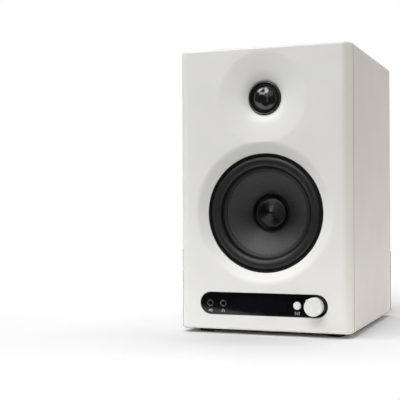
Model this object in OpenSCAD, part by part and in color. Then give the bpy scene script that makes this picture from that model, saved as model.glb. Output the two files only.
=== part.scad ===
// Powered two-way bookshelf speaker, modelled as an assembly of separate pieces.
// Every module is drawn with x to the right, y going back from the plane of the front face,
// and z up from the underside of the cabinet. place() then moves it to the part's own frame:
// origin on the ground under the middle of the whole object, +Z up, front towards -Y.

/* [Cabinet] */
// Outer width of the cabinet
cab_w = 175; // [170:1:185]
// Outer height of the cabinet without its feet
cab_h = 278; // [275:1:295]
// Depth from the front face to the rear rim
cab_d = 212; // [212:1:240]
// Thickness of the cabinet walls
wall = 12; // [10:0.5:13]
// Radius of the two upright front edges
front_r = 10; // [6:0.5:10]
// Radius of all the other outer edges
edge_r = 2.5; // [1.5:0.5:3]
// Visible thickness of the front baffle at its edge
flange_t = 11; // [10.6:0.1:11.5]
// Height of the rubber feet
foot_h = 4.5; // [3:0.5:8]
// Radius of each rubber foot
foot_r = 9; // [6:0.5:10]

/* [Woofer] */
// Height of the woofer axis above the cabinet's underside
woofer_z = 115; // [114:0.5:118]
// Radius of the opening for the woofer
woofer_hole_r = 58.8; // [58.6:0.1:59.2]
// Radius where the bevel round the woofer meets the front face
bevel_r = 68.5; // [66:0.5:69]
// Depth of that bevel at the woofer
bevel_d = 6.2; // [5.5:0.1:6.6]
// Furthest travel of the cone each way
cone_travel = 4.5; // [2:0.5:5]

/* [Tweeter] */
// Height of the tweeter axis above the cabinet's underside
tweeter_z = 228.3; // [227:0.1:230]
// Radius of the waveguide's mouth
mouth_r = 44; // [42:0.5:44]
// Radius of the waveguide's throat
throat_r = 16.7; // [16.6:0.1:17.2]
// Depth of the waveguide at its throat
throat_d = 8.2; // [7.5:0.1:8.4]

/* [Controls] */
// Height of the control panel's middle above the cabinet's underside
panel_z = 25.7; // [25:0.1:26.5]
// Sideways place of the control panel's middle
panel_x = -0.6; // [-1:0.1:0]
// Length of the control panel
panel_l = 129.8; // [128:0.1:130]
// Height of the control panel
panel_h = 22.4; // [21:0.1:23]
// Sideways place of the auxiliary input jack
aux_x = -55.2; // [-56:0.1:-54]
// Sideways place of the headphone jack
phones_x = -41.5; // [-43:0.1:-40]
// Sideways place of the tone button
button_x = 34.1; // [33:0.1:35]
// Radius of the tone button
button_r = 3.8; // [3.5:0.1:4.1]
// Sideways place of the volume knob
knob_x = 51.9; // [51:0.1:52]
// Radius of the volume knob
knob_r = 8.9; // [8:0.1:9.2]
// How far the knob stands out from the front face
knob_out = 9.5; // [6:0.1:10]
// Radius of the jack bores for a 3.5 mm plug
jack_r = 1.8; // [1.78:0.01:1.85]

/* [Rear] */
// Height of the port axis above the cabinet's underside
port_z = 213; // [212:1:220]
// Inner radius of the port tube
port_r = 21; // [18:0.5:21]
// Inner length of the port tube in front of the rear panel
port_len = 88; // [60:1:100]
// Radius of the bores for a 4 mm banana plug
banana_r = 2.05; // [2.03:0.01:2.1]

/* [Hidden] */
$fn = 64;

rear_face = cab_d - 2;              // outer face of the rear panel
post_out = 18;                      // how far the binding posts stand out from the rear rim
y_mid = (cab_d + post_out - knob_out) / 2;
in_w = cab_w - 2 * wall;            // inside width
in_top = cab_h - wall;              // inside top
gap = 0.1;                          // clearance between parts that are slid together
plug_d = 19;                        // depth of the baffle's inner rebate
fascia_y = 0.3;                     // the fascia lies this far behind the front face
board_y = 9;                        // front of the control board
amp_z = 75;                         // middle of the amplifier plate
bolt_x = 65.5;                      // screws of the control board
post_x = [-28, -47];                // red, black
rca_x = [45, 27, 2];                // left, right, subwoofer
jack_row_z = 108;                   // height of the sockets on the amplifier plate
inlet_x = 34;
switch_x = -6;
mains_z = 42;

module place() translate([0, -y_mid, foot_h]) children();
// Turns something drawn along +Z so that it runs back along +Y, on an axis at x, z
module at(x, z) translate([x, 0, z]) rotate([-90, 0, 0]) children();
module box(x0, x1, y0, y1, z0, z1) translate([x0, y0, z0]) cube([x1 - x0, y1 - y0, z1 - z0]);
module disc(r, y0, y1) translate([0, 0, y0]) cylinder(r = r, h = y1 - y0);
module ring(ro, ri, y0, y1) difference() { disc(ro, y0, y1); disc(ri, y0 - 1, y1 + 1); }
module lathe(p) rotate_extrude($fn = 96) polygon(p);
module pill(l, h, y0, y1) union() {
    translate([-(l - h) / 2, -h / 2, y0]) cube([l - h, h, y1 - y0]);
    for (s = [-1, 1]) translate([s * (l - h) / 2, 0, y0]) cylinder(d = h, h = y1 - y0);
}
// Upright slab with rounded corners, its middle at x = 0 and z = zc
module slab(w, h, r, y0, y1, zc) at(0, zc) union() {
    translate([-w / 2 + r, -h / 2, y0]) cube([w - 2 * r, h, y1 - y0]);
    translate([-w / 2, -h / 2 + r, y0]) cube([w, h - 2 * r, y1 - y0]);
    for (sx = [-1, 1], sz = [-1, 1]) translate([sx * (w / 2 - r), sz * (h / 2 - r), y0]) cylinder(r = r, h = y1 - y0);
}
// One M3 screw: pan head on y0, shank going towards the front
module screw(y0, len, head_r = 2.7, r = 1.45) union() {
    disc(r, y0 - len, y0);
    difference() { disc(head_r, y0, y0 + 1.8); for (a = [0, 90]) rotate(a) translate([-1.6, -0.3, y0 + 0.9]) cube([3.2, 0.6, 2]); }
}
woofer_bolts = [45, 135, 225, 315];
woofer_bolt_r = 62.4;
tweeter_bolts = [30, 150, 270];
tweeter_bolt_r = 25.2;
module around(r, angles) for (a = angles) rotate(a) translate([r, 0, 0]) children();

// Smooth route through a list of points, and a round tube along it
function cr(a, b, c, d, t) = 0.5 * (2 * b + (c - a) * t + (2 * a - 5 * b + 4 * c - d) * t * t + (3 * b - a - 3 * c + d) * t * t * t);
function route(P, n) = [for (i = [0:len(P) - 2]) for (k = [0:n - 1]) cr(P[max(i - 1, 0)], P[i], P[i + 1], P[min(i + 2, len(P) - 1)], k / n), P[len(P) - 1]];
function unit(v) = v / norm(v);
function tang(Q, i) = unit(Q[min(i + 1, len(Q) - 1)] - Q[max(i - 1, 0)]);
module sweep(Q, r, s = 8, ref = [0.31, 0.21, 0.93]) {
    n = len(Q);
    p = [for (i = [0:n - 1]) let (t = tang(Q, i), a = unit(cross(t, ref)), b = cross(t, a)) for (k = [0:s - 1]) Q[i] + r * (cos(360 * k / s) * a + sin(360 * k / s) * b)];
    f = concat([[for (k = [0:s - 1]) k]],
               [for (i = [0:n - 2]) for (k = [0:s - 1]) [i * s + k, (i + 1) * s + k, (i + 1) * s + (k + 1) % s, i * s + (k + 1) % s]],
               [[for (k = [s - 1:-1:0]) (n - 1) * s + k]]);
    polyhedron(points = p, faces = f, convexity = 6);
}

// ---------------------------------------------------------------- cabinet
module baffle_blank() union() {
    intersection() {
        slab(cab_w, cab_h, edge_r, -1, flange_t - 0.5, cab_h / 2);
        linear_extrude(height = cab_h) union() {
            translate([-cab_w / 2 + front_r, 0]) square([cab_w - 2 * front_r, flange_t]);
            translate([-cab_w / 2, front_r]) square([cab_w, flange_t - front_r]);
            for (s = [-1, 1]) translate([s * (cab_w / 2 - front_r), front_r]) circle(r = front_r);
        }
        translate([-cab_w, 0, 0]) rotate([90, 0, 90]) linear_extrude(height = 2 * cab_w) union() {
            translate([0, edge_r]) square([flange_t, cab_h - 2 * edge_r]);
            translate([edge_r, 0]) square([flange_t - edge_r, cab_h]);
            for (z = [edge_r, cab_h - edge_r]) translate([edge_r, z]) circle(r = edge_r);
        }
    }
    // narrow shadow line between the baffle and the cabinet
    slab(cab_w - 1.6, cab_h - 1.6, edge_r, flange_t - 0.6, flange_t, cab_h / 2);
    // rebate that fits inside the cabinet
    box(-in_w / 2 + gap, in_w / 2 - gap, flange_t - 1, plug_d, wall + gap, in_top - gap);
}
bowl = [[mouth_r + 3, -1], [mouth_r + 3, 0], [mouth_r, 0.18], [42, 0.42], [40, 0.72], [36, 1.4], [32, 2.1], [28, 2.8],
        [26, 3.24], [24, 3.85], [22, 4.65], [20, 5.7], [18.1, 7.0], [throat_r, throat_d], [throat_r, throat_d + 0.2], [0, throat_d + 0.2], [0, -1]];
bevel = [[bevel_r + 3, -1], [bevel_r + 3, 0], [bevel_r + 1, 0.14], [bevel_r - 0.8, 0.75], [bevel_r - 2.5, 1.7],
         [woofer_hole_r, bevel_d], [woofer_hole_r, 8], [0, 8], [0, -1]];
module front_baffle() color("whitesmoke") difference() {
    baffle_blank();
    at(0, tweeter_z) { lathe(bowl); disc(throat_r, 0, 11); disc(30, 10, 30); around(tweeter_bolt_r, tweeter_bolts) disc(1.5, 6.8, 12); }
    at(0, woofer_z) { lathe(bevel); disc(woofer_hole_r, 7, 12); disc(66.6, 9, 30); around(woofer_bolt_r, woofer_bolts) disc(1.5, 5.4, 12); }
    at(panel_x, panel_z) { pill(panel_l, panel_h, -1, 2.3); pill(panel_l - 4, panel_h - 4, 1, 30); }
    box(-69, 69, board_y, 30, panel_z - 11, panel_z + 11);
    for (s = [-1, 1], k = [-1, 1]) at(s * bolt_x, panel_z + k * 6.5) disc(1.5, 4.6, 12);
}
module cabinet_shell() color("white") difference() {
    slab(cab_w, cab_h, edge_r, flange_t, cab_d, cab_h / 2);
    box(-in_w / 2, in_w / 2, -1, cab_d + 1, wall, in_top);
}
plate_bolts = [for (x = [-58.5, 0, 58.5], k = [-51.5, 0, 51.5]) if (!(x == 0 && k == 0)) [x, amp_z + k]];
module rear_panel() color("whitesmoke") difference() {
    box(-in_w / 2 + gap, in_w / 2 - gap, rear_face - 12, rear_face, wall + gap, in_top - gap);
    box(-52, 52, rear_face - 20, rear_face + 1, amp_z - 45, amp_z + 45);
    at(0, port_z) disc(24.6, rear_face - 20, rear_face + 1);
    for (b = plate_bolts) at(b[0], b[1]) disc(1.5, rear_face - 10, rear_face + 1);
    for (a = [45, 135, 225, 315]) at(0, port_z) rotate(a) translate([30.5, 0, 0]) disc(1.5, rear_face - 10, rear_face + 1);
}
module internal_brace() color("burlywood") difference() {
    box(-in_w / 2 + gap, in_w / 2 - gap, 62, 150, 174, 184);
    for (s = [-1, 1]) box(s * 35 - 26, s * 35 + 26, 78, 134, 170, 190);
}
module damping_foam() color("dimgray") {
    box(in_w / 2 - 15, in_w / 2 - 0.2, 30, 190, 20, 168);
    box(in_w / 2 - 15, in_w / 2 - 0.2, 40, 190, 188, 262);
    box(-in_w / 2 + 0.2, -in_w / 2 + 15, 40, 190, 188, 262);
}
module port_tube() color("#222222") at(0, port_z) difference() {
    union() { disc(port_r + 2.5, rear_face - 12 - port_len, rear_face); disc(34, rear_face, rear_face + 3); }
    lathe([[0, rear_face - 13 - port_len], [port_r, rear_face - 13 - port_len], [port_r, rear_face - 2.5], [port_r + 0.4, rear_face - 0.8],
           [port_r + 1.4, rear_face + 0.8], [port_r + 3, rear_face + 2.0], [port_r + 5, rear_face + 2.8], [port_r + 7, rear_face + 3.2], [port_r + 7, rear_face + 4], [0, rear_face + 4]]);
    around(30.5, [45, 135, 225, 315]) disc(1.7, rear_face - 1, rear_face + 4);
}
module feet() color("#1a1a1a") for (x = [-1, 1], y = [26, cab_d - 22]) translate([x * (cab_w / 2 - 21), y, -foot_h])
    rotate_extrude($fn = 48) polygon([[0, 0], [foot_r - 1, 0], [foot_r, 0.8], [foot_r, foot_h], [0, foot_h]]);

// ---------------------------------------------------------------- woofer
cone_front = [[44.2, 12.2], [41, 13.5], [37, 15.7], [32, 18.75], [27, 22.2], [22, 26.1], [19.9, 28], [18.9, 29.4], [18.4, 31.2], [18.2, 36.2], [13.4, 36.2]];
cone_back = [[13.4, 37], [18.9, 37], [19.2, 31.4], [19.6, 29.8], [20.5, 28.5], [22.4, 26.7], [27.3, 22.9], [32.3, 19.4], [37.2, 16.4], [41.2, 14.2], [44.2, 12.9]];
module woofer_gasket() color("#101010") at(0, woofer_z) lathe([[58.6, 6.7], [58.6, 9], [56.7, 9], [56.7, 6.9], [57.2, 6.3], [58.1, 6.3]]);
function roll(n, t) = [for (i = [0:n]) let (a = 180 * i / n, m = i / n) [50.4 + (5.2 - t) * cos(a), 8.3 + t + 2.0 * m - (4.1 - 0.2 * t) * sin(a) * (1 - 0.06 * m)]];
module woofer_surround() color("#1c1c1c") at(0, woofer_z) lathe(concat(
    [[56.5, 9], [56.5, 8.3]], roll(16, 0), [[44.7, 11.2], [44.2, 11.4], [41.6, 11.4], [41.1, 11.9], [41, 13.4], [44.2, 12.1], [45.2, 11.8]],
    [for (i = [16:-1:0]) roll(16, 0.7)[i]]));
module woofer_cone() color("#333333") at(0, woofer_z)
    lathe(concat(cone_front, cone_back));
module woofer_dust_cap() color("#181818") at(0, woofer_z)
    lathe([[15.2, 36.2], [15.2, 31.4], [14.9, 30.7], [14.2, 30.3], [7, 28.2], [1.5, 26.65], [0, 26.4], [0, 27.0], [1.5, 27.2], [7, 28.8], [14, 30.8], [14.5, 31.3], [14.6, 36.2]]);
module voice_coil_former() color("#c8a060") at(0, woofer_z) ring(13.25, 13.0, 34.7, 60);
module voice_coil_winding() color("#b5651d") at(0, woofer_z) ring(13.85, 13.27, 46, 58);
function wave(r) = r > 37 ? 39.8 : 39.8 + 1.4 * sin(360 * (r - 15) / 5.5) * min(1, (r - 13.35) / 2);
module woofer_spider() color("#d9b36c") at(0, woofer_z) lathe(concat(
    [for (i = [0:40]) let (r = 13.35 + 30.9 * i / 40) [r, wave(r)]], [for (i = [40:-1:0]) let (r = 13.35 + 30.9 * i / 40) [r, wave(r) + 0.5]]));
module woofer_basket() color("#2b2b2b") at(0, woofer_z) difference() {
    lathe([[66, 9], [66, 11], [57.2, 11], [51, 25.5], [46.2, 39.2], [46.2, 42], [39, 42], [39, 49], [20, 49], [20, 47.4], [37.4, 47.4],
           [37.4, 40.4], [44.6, 40.4], [44.6, 38.9], [49.3, 25], [54.5, 11.3], [54.5, 9]]);
    for (a = [0:60:300]) rotate(a) translate([36, -15, 15]) cube([30, 30, 22]);
    around(woofer_bolt_r, woofer_bolts) disc(1.7, 8, 12);
}
module woofer_top_plate() color("silver") at(0, woofer_z) ring(38, 14.5, 49, 55);
module woofer_magnet() color("#3a3a3a") at(0, woofer_z) ring(43, 19, 55, 71);
module woofer_yoke() color("silver") at(0, woofer_z) difference() {
    union() { disc(39, 71, 77); disc(12.4, 48.5, 72); }
    disc(4, 47, 78);
}
module woofer_terminals() color("tan") {
    box(-48.6, -39.6, 42, 44, woofer_z - 9, woofer_z + 9);
    for (k = [-1, 1]) box(-49.5, -48.5, 40, 54, woofer_z + k * 6 - 2.4, woofer_z + k * 6 + 2.4);
}
module tinsel_leads() color("#b87333") for (k = [-1, 1])
    sweep(route([[-22.5, 27.4, woofer_z + k * 3], [-27, 30.5, woofer_z + k * 3.5], [-34, 33.5, woofer_z + k * 4.5], [-42, 33.5, woofer_z + k * 5.5], [-47.5, 35.2, woofer_z + k * 6], [-49.3, 39.9, woofer_z + k * 6]], 4), 0.5, 8);
module mounting_screws() color("#2a2a2a") {
    at(0, woofer_z) around(woofer_bolt_r, woofer_bolts) screw(11, 5.4);
    at(0, tweeter_z) around(tweeter_bolt_r, tweeter_bolts) screw(12.5, 5.4);
    for (s = [-1, 1], k = [-1, 1]) at(s * bolt_x, panel_z + k * 6.5) screw(board_y + 1.6, 5.4);
    for (a = [45, 135, 225, 315]) at(0, port_z) rotate(a) translate([30.5, 0, 0]) screw(rear_face + 3, 8);
}

// ---------------------------------------------------------------- tweeter
module tweeter_face_ring() color("#0e0e0e") at(0, tweeter_z) difference() {
    lathe([[16.4, 7], [16.4, 10], [29.5, 10], [29.5, 12.5], [17.6, 12.5], [17.6, 10.6], [14.2, 10.6], [14.1, 7.4], [14.3, 6.9], [14.7, 6.9], [14.9, 7.2],
           [15.1, 7.1], [15.4, 6.5], [16, 6.5]]);
    around(tweeter_bolt_r, tweeter_bolts) disc(1.5, 9, 14);
}
dome_h = 5.8;
dome_R = (12.65 * 12.65 + dome_h * dome_h) / (2 * dome_h);
function cap_pt(r, t) = [r, 8 - dome_h + dome_R - sqrt(pow(dome_R - t, 2) - r * r)];
module tweeter_dome() color("#0a0a0a") at(0, tweeter_z) lathe(concat([for (i = [0:12]) cap_pt(12.65 * i / 12, 0)], [for (i = [12:-1:0]) cap_pt(12.3 * i / 12, 0.35)]));
module tweeter_surround() color("#161616") at(0, tweeter_z) lathe([[12.75, 8], [13.1, 7.6], [13.5, 7.8], [13.8, 8.5], [13.95, 9.6], [14.0, 10.6], [17.4, 10.6], [17.4, 11],
    [14.1, 11], [13.7, 9.8], [13.45, 8.6], [13.2, 8.1], [13, 8.2], [12.75, 8.5]]);
module tweeter_coil() color("#b5651d") at(0, tweeter_z) { ring(12.62, 12.42, 8.15, 17); ring(12.95, 12.64, 12, 16); }
module tweeter_top_plate() color("silver") at(0, tweeter_z) difference() { union() { disc(21.5, 12.5, 15.5); disc(17.4, 11, 13); } disc(13.4, 10, 17); }
module tweeter_magnet() color("#3a3a3a") at(0, tweeter_z) ring(22, 14.5, 15.5, 24.5);
module tweeter_yoke() color("silver") at(0, tweeter_z) difference() { union() { disc(20, 24.5, 28); disc(11.9, 11.5, 25); } disc(2, 10, 30); }
module tweeter_terminals() color("tan") {
    box(-29, -22.3, 12.5, 14, tweeter_z - 5, tweeter_z + 5);
    for (k = [-1, 1]) box(-26.5, -25.9, 13.9, 22, tweeter_z + k * 3 - 1.4, tweeter_z + k * 3 + 1.4);
}

// ---------------------------------------------------------------- front controls
module control_fascia() color("black") difference() {
    at(panel_x, panel_z) pill(panel_l - 0.4, panel_h - 0.4, fascia_y, 2.3);
    for (x = [aux_x, phones_x]) at(x, panel_z) disc(3.45, -1, 4);
    at(button_x, panel_z) disc(button_r + 0.25, -1, 4);
    at(knob_x, panel_z) disc(3.7, -1, 4);
}
module display_module() color("#0b1020") {
    box(-34, 24, 2.4, 5.4, panel_z - 7.5, panel_z + 7.5);
    box(-30, 20, 5.4, board_y, panel_z - 5, panel_z + 5);
}
module front_board() color("darkgreen") difference() {
    box(-68.5, 68.5, board_y, board_y + 1.6, panel_z - 10.5, panel_z + 10.5);
    for (x = [aux_x, phones_x]) at(x, panel_z) disc(4.2, board_y - 1, board_y + 3);
    for (s = [-1, 1], k = [-1, 1]) at(s * bolt_x, panel_z + k * 6.5) disc(1.5, board_y - 1, board_y + 3);
}
// Panel-mount jack for a 3.5 mm plug
module audio_jacks() color("#454545") for (x = [aux_x, phones_x]) at(x, panel_z) difference() {
    union() { disc(3.35, 0, 4); translate([-4.6, -5, 2.5]) cube([9.2, 10, board_y - 2.5]); disc(4, 5, 17); }
    disc(jack_r, -1, 15.5);
    lathe([[0, -1], [jack_r + 1.1, -1], [jack_r + 1.1, -0.01], [jack_r + 0.5, 0.6], [0, 0.6]]);
}
module eq_button() color("white") at(button_x, panel_z) lathe([[0, -0.7], [button_r - 0.5, -0.7], [button_r - 0.1, -0.55], [button_r, -0.2], [button_r, 2.5], [button_r + 1.1, 2.5], [button_r + 1.1, 3.3], [1.5, 3.3], [1.5, 4.75], [0, 4.75]]);
module eq_switch_plunger() color("#222222") at(button_x, panel_z) disc(1.6, 4.8, 6.4);
module eq_switch_body() color("#303030") at(button_x, panel_z) difference() {
    translate([-3.1, -3.1, 5.6]) cube([6.2, 6.2, board_y - 5.6]);
    disc(1.75, 5, 7.6);
}
module volume_knob() color("white") at(knob_x, panel_z) union() {
    difference() {
        lathe([[0, -knob_out], [knob_r - 0.9, -knob_out], [knob_r - 0.25, -knob_out + 0.3], [knob_r, -knob_out + 1], [knob_r, -0.6], [knob_r - 0.4, -0.3], [0, -0.3]]);
        disc(3.05, -knob_out + 0.9, 1);
        ring(knob_r - 1.4, 4.6, -knob_out + 2, 1);
    }
    // raised pointer on the rim
    rotate(-135) translate([knob_r - 0.4, -0.6, -knob_out + 0.6]) cube([0.9, 1.2, knob_out - 1.4]);
}
module encoder_shaft() color("silver") at(knob_x, panel_z) union() { disc(2.98, -knob_out + 1, 5.2); disc(4.5, 4.9, 5.7); }
module encoder_plunger() color("#222222") at(knob_x, panel_z) disc(2.5, 5.72, 6.6);
module encoder_body() color("#505050") at(knob_x, panel_z) difference() {
    union() { translate([-6, -6, 3.2]) cube([12, 12, board_y - 3.2]); disc(3.5, fascia_y, 4); }
    disc(3.06, -1, 5);
    disc(4.8, 4.4, 8);
}

// ---------------------------------------------------------------- rear
amp_studs = [[-40, 67], [40, 67], [-13, 113], [14.5, 113]];
module amp_plate() color("#262626") difference() {
    union() {
        slab(130, 116, 6, rear_face, cab_d, amp_z);
        for (b = amp_studs) at(b[0], b[1]) disc(3, 180, rear_face + 0.1);
    }
    for (b = plate_bolts) at(b[0], b[1]) disc(1.7, rear_face - 1, cab_d + 1);
    for (x = rca_x) at(x, jack_row_z) disc(4.6, rear_face - 1, cab_d + 1);
    for (x = post_x) at(x, jack_row_z) disc(4.2, rear_face - 1, cab_d + 1);
    box(inlet_x - 12.5, inlet_x + 12.5, rear_face - 1, cab_d + 1, mains_z - 8, mains_z + 8);
    box(switch_x - 10, switch_x + 10, rear_face - 1, cab_d + 1, mains_z - 6.5, mains_z + 6.5);
}
module amp_plate_screws() color("#111111") for (b = plate_bolts) at(b[0], b[1]) screw(cab_d, 9);
module amp_board() color("darkgreen") {
    box(-50, 50, 178.4, 180, 62, 118);
    for (s = [-1, 1]) box(s * 40 - 8, s * 40 + 8, 170, 178.5, 68, 82);
    for (s = [-1, 1]) box(s * 16 - 7, s * 16 + 7, 179.9, 184, 84, 98);
    for (s = [-1, 1]) at(s * 36, 96) disc(7.5, 168, 178.5);
}
module capacitors() color("#20304a") {
    for (s = [-1, 1], k = [0, 1]) at(s * 14 + 0, 72 + k * 20) disc(6.5, 156, 178.4);
    for (s = [-1, 1]) translate([s * 14 + 26, 118, 20]) cylinder(r = 8, h = 26);
    for (k = [0, 1]) translate([-64.35, 82 + k * 22, 72]) cylinder(r = 5.5, h = 22);
}
module heat_sink() color("#1c1c1c") {
    box(-26, 26, 184, rear_face, 84, 98);
    box(-46, 46, cab_d, cab_d + 3, 60, 92);
    for (i = [0:8]) box(-46 + i * 11.25, -46 + i * 11.25 + 2, cab_d + 2.9, cab_d + 12, 60, 92);
}
module power_supply_board() color("darkgreen") {
    box(-50, 52, 98, 172, 18.4, 20);
    for (x = [-45, 47], y = [103, 167]) translate([x, y, wall]) cylinder(r = 3, h = 6.4);
}
module power_transformer() color("goldenrod") union() {
    box(-36, -4, 128, 160, 20.1, 24);
    box(-36, -4, 128, 160, 40, 44);
    box(-30, -10, 128, 160, 23, 41);
    box(-38, -2, 134, 154, 23, 41);
}
module crossover_board() color("darkgreen") {
    box(-71.5, -69.9, 64, 146, 64, 124);
    for (y = [70, 140], z = [68, 120]) translate([-in_w / 2, y, z]) rotate([0, 90, 0]) cylinder(r = 2.5, h = 4);
}
module crossover_coils() color("#b5651d") for (y = [84, 122]) translate([-69.8, y, 108]) rotate([0, 90, 0]) difference() {
    union() { cylinder(r = 13, h = 1.2); cylinder(r = 11.5, h = 12); translate([0, 0, 11]) cylinder(r = 13, h = 1.2); }
    translate([0, 0, -1]) cylinder(r = 6, h = 20);
}
module mains_inlet() color("#0c0c0c") {
    at(inlet_x, mains_z) difference() {
        union() { translate([-15, -10.5, cab_d]) cube([30, 21, 2.5]); translate([-12.3, -7.8, 196]) cube([24.6, 15.6, cab_d - 195]); }
        union() { translate([-4.1, -4.3, 201.5]) cube([8.2, 8.6, 20]); for (s = [-1, 1]) translate([s * 4.1, 0, 201.5]) cylinder(r = 4.3, h = 20); }
    }
    for (s = [-1, 1]) at(inlet_x + s * 4.3, mains_z) disc(1.2, 201.5, 212.5);
}
module switch_frame() color("#0c0c0c") at(switch_x, mains_z) difference() {
    union() { translate([-11.5, -8, cab_d]) cube([23, 16, 1.8]); translate([-9.8, -6.3, 197]) cube([19.6, 12.6, cab_d - 196]); }
    translate([-8.4, -5.2, 204]) cube([16.8, 10.4, 20]);
    translate([0, 0, 211]) rotate([90, 0, 0]) cylinder(r = 1.55, h = 14, center = true);
}
// Rocker tilted to its off side. It turns on its own pin along the vertical
rock_y = 211;
module power_rocker() color("#151515") translate([switch_x, rock_y, mains_z]) rotate([0, 0, 7]) union() {
    translate([0, 0, -5]) linear_extrude(height = 10) polygon([[-8, 3.6], [-4, 2.5], [0, 2.1], [4, 2.5], [8, 3.6], [8, 0.5], [5, -4.2], [-5, -4.2], [-8, 0.5]]);
    translate([0, 0, -6.1]) cylinder(r = 1.5, h = 12.2);
}
module rca_sockets() color("gainsboro") for (x = rca_x) at(x, jack_row_z) {
    union() { ring(4.15, 3.45, 213.6, 221.5); ring(3.8, 3.45, 209.5, 213.7); }
    difference() { union() { disc(3.4, 209, 220.5); translate([-6, -6, 197]) cube([12, 12, 12.6]); } disc(1.65, 205, 222); }
    ring(6.4, 3.9, cab_d + 0.05, cab_d + 1.55);
}
module post_bodies() color("#303030") for (x = post_x) at(x, jack_row_z) {
    ring(7.2, 3.5, cab_d + 0.02, cab_d + 3);
    ring(4.1, 3.5, rear_face - 4, cab_d);
    difference() { disc(3.4, 196, 228.4); disc(banana_r, 213, 230); }
}
module post_washer(x) at(x, jack_row_z) ring(6.2, 3.6, cab_d + 3.05, cab_d + 4);
module post_cap(x) at(x, jack_row_z) difference() {
    union() {
        lathe([[0, 216.05], [6.0, 216.05], [6.6, 216.6], [6.6, 221], [5.6, 221.8], [5.6, 223], [6.6, 223.8], [6.6, 229.4], [6.0, 230], [0, 230]]);
    }
    disc(3.5, 216, 231);
    for (a = [0:20:340]) rotate(a) translate([6.9, 0, 210]) cylinder(r = 0.6, h = 30);
}
module red_post_washer() color("silver") post_washer(post_x[0]);
module black_post_washer() color("silver") post_washer(post_x[1]);
module red_post_cap() color("crimson") post_cap(post_x[0]);
module black_post_cap() color("#111111") post_cap(post_x[1]);
module internal_wiring() {
    // woofer lead
    color("firebrick") sweep(route([[-49.1, 54.2, woofer_z + 6], [-51, 58, woofer_z + 5], [-58, 62, 116], [-66, 60.5, 108], [-68.5, 62.5, 100], [-68, 67, 92], [-68.5, 72, 88]], 5), 1.3, 8);
    // tweeter lead
    color("gold") sweep(route([[-26.2, 22.3, tweeter_z + 3], [-28, 28, tweeter_z + 2], [-40, 40, 214], [-52, 68, 198], [-50, 88, 186], [-50, 92, 172], [-56, 98, 150], [-64, 103, 134], [-68.2, 103, 126], [-68.5, 103, 122.6]], 5), 1.3, 8, [0.9, 0.1, 0.3]);
    // cable from the control board to the amplifier board
    color("gray") sweep(route([[0, 10.65, 21], [0, 13, 21], [-1, 17, 20], [-6, 22, 19], [-30, 34, 17.5], [-54, 60, 16], [-59, 95, 16], [-60, 140, 17], [-60, 172, 22], [-59, 190, 34], [-54, 192, 50], [-49, 191, 64], [-47.5, 187, 74], [-47.5, 183, 76], [-47.5, 180.05, 76]], 5), 2, 8, [0.4, 0.3, -0.8]);
}

place() cabinet_shell();
place() front_baffle();
place() rear_panel();
place() internal_brace();
place() damping_foam();
place() port_tube();
place() feet();
place() woofer_gasket();
place() woofer_basket();
place() woofer_surround();
place() woofer_cone();
place() woofer_dust_cap();
place() voice_coil_former();
place() voice_coil_winding();
place() woofer_spider();
place() woofer_top_plate();
place() woofer_magnet();
place() woofer_yoke();
place() woofer_terminals();
place() tinsel_leads();
place() mounting_screws();
place() tweeter_face_ring();
place() tweeter_dome();
place() tweeter_surround();
place() tweeter_coil();
place() tweeter_top_plate();
place() tweeter_magnet();
place() tweeter_yoke();
place() tweeter_terminals();
place() control_fascia();
place() display_module();
place() front_board();
place() audio_jacks();
place() eq_button();
place() eq_switch_plunger();
place() eq_switch_body();
place() volume_knob();
place() encoder_shaft();
place() encoder_plunger();
place() encoder_body();
place() amp_plate();
place() amp_plate_screws();
place() amp_board();
place() capacitors();
place() heat_sink();
place() power_supply_board();
place() power_transformer();
place() crossover_board();
place() crossover_coils();
place() mains_inlet();
place() switch_frame();
place() power_rocker();
place() rca_sockets();
place() post_bodies();
place() red_post_washer();
place() black_post_washer();
place() red_post_cap();
place() black_post_cap();
place() internal_wiring();
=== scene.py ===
"""Looks of a powered two-way bookshelf speaker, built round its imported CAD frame."""
import math

import bmesh
import bpy
from mathutils import Matrix, Vector


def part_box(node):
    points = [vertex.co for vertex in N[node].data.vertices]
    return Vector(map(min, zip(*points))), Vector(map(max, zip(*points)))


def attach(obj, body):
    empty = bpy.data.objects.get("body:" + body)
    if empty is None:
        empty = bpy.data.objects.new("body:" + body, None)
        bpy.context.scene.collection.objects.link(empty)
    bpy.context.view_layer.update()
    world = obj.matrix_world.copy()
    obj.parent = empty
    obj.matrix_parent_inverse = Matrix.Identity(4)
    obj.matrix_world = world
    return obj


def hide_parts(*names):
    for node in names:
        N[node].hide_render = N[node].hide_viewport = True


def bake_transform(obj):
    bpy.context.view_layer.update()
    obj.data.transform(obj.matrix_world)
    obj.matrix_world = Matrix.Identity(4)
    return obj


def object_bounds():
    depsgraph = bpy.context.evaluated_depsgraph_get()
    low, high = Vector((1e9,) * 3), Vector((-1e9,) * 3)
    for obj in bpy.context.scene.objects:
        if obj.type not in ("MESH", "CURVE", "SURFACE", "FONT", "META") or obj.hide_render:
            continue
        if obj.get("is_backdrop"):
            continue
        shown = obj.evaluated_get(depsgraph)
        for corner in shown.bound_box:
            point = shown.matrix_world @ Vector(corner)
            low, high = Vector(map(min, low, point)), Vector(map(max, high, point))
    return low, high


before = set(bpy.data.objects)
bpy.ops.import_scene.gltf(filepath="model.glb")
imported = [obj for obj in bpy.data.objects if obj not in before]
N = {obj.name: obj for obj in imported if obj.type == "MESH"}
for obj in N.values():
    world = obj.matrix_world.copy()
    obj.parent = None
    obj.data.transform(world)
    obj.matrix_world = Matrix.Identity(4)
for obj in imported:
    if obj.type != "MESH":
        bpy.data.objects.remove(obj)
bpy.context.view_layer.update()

MM = 0.001
S = bpy.context.scene

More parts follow.
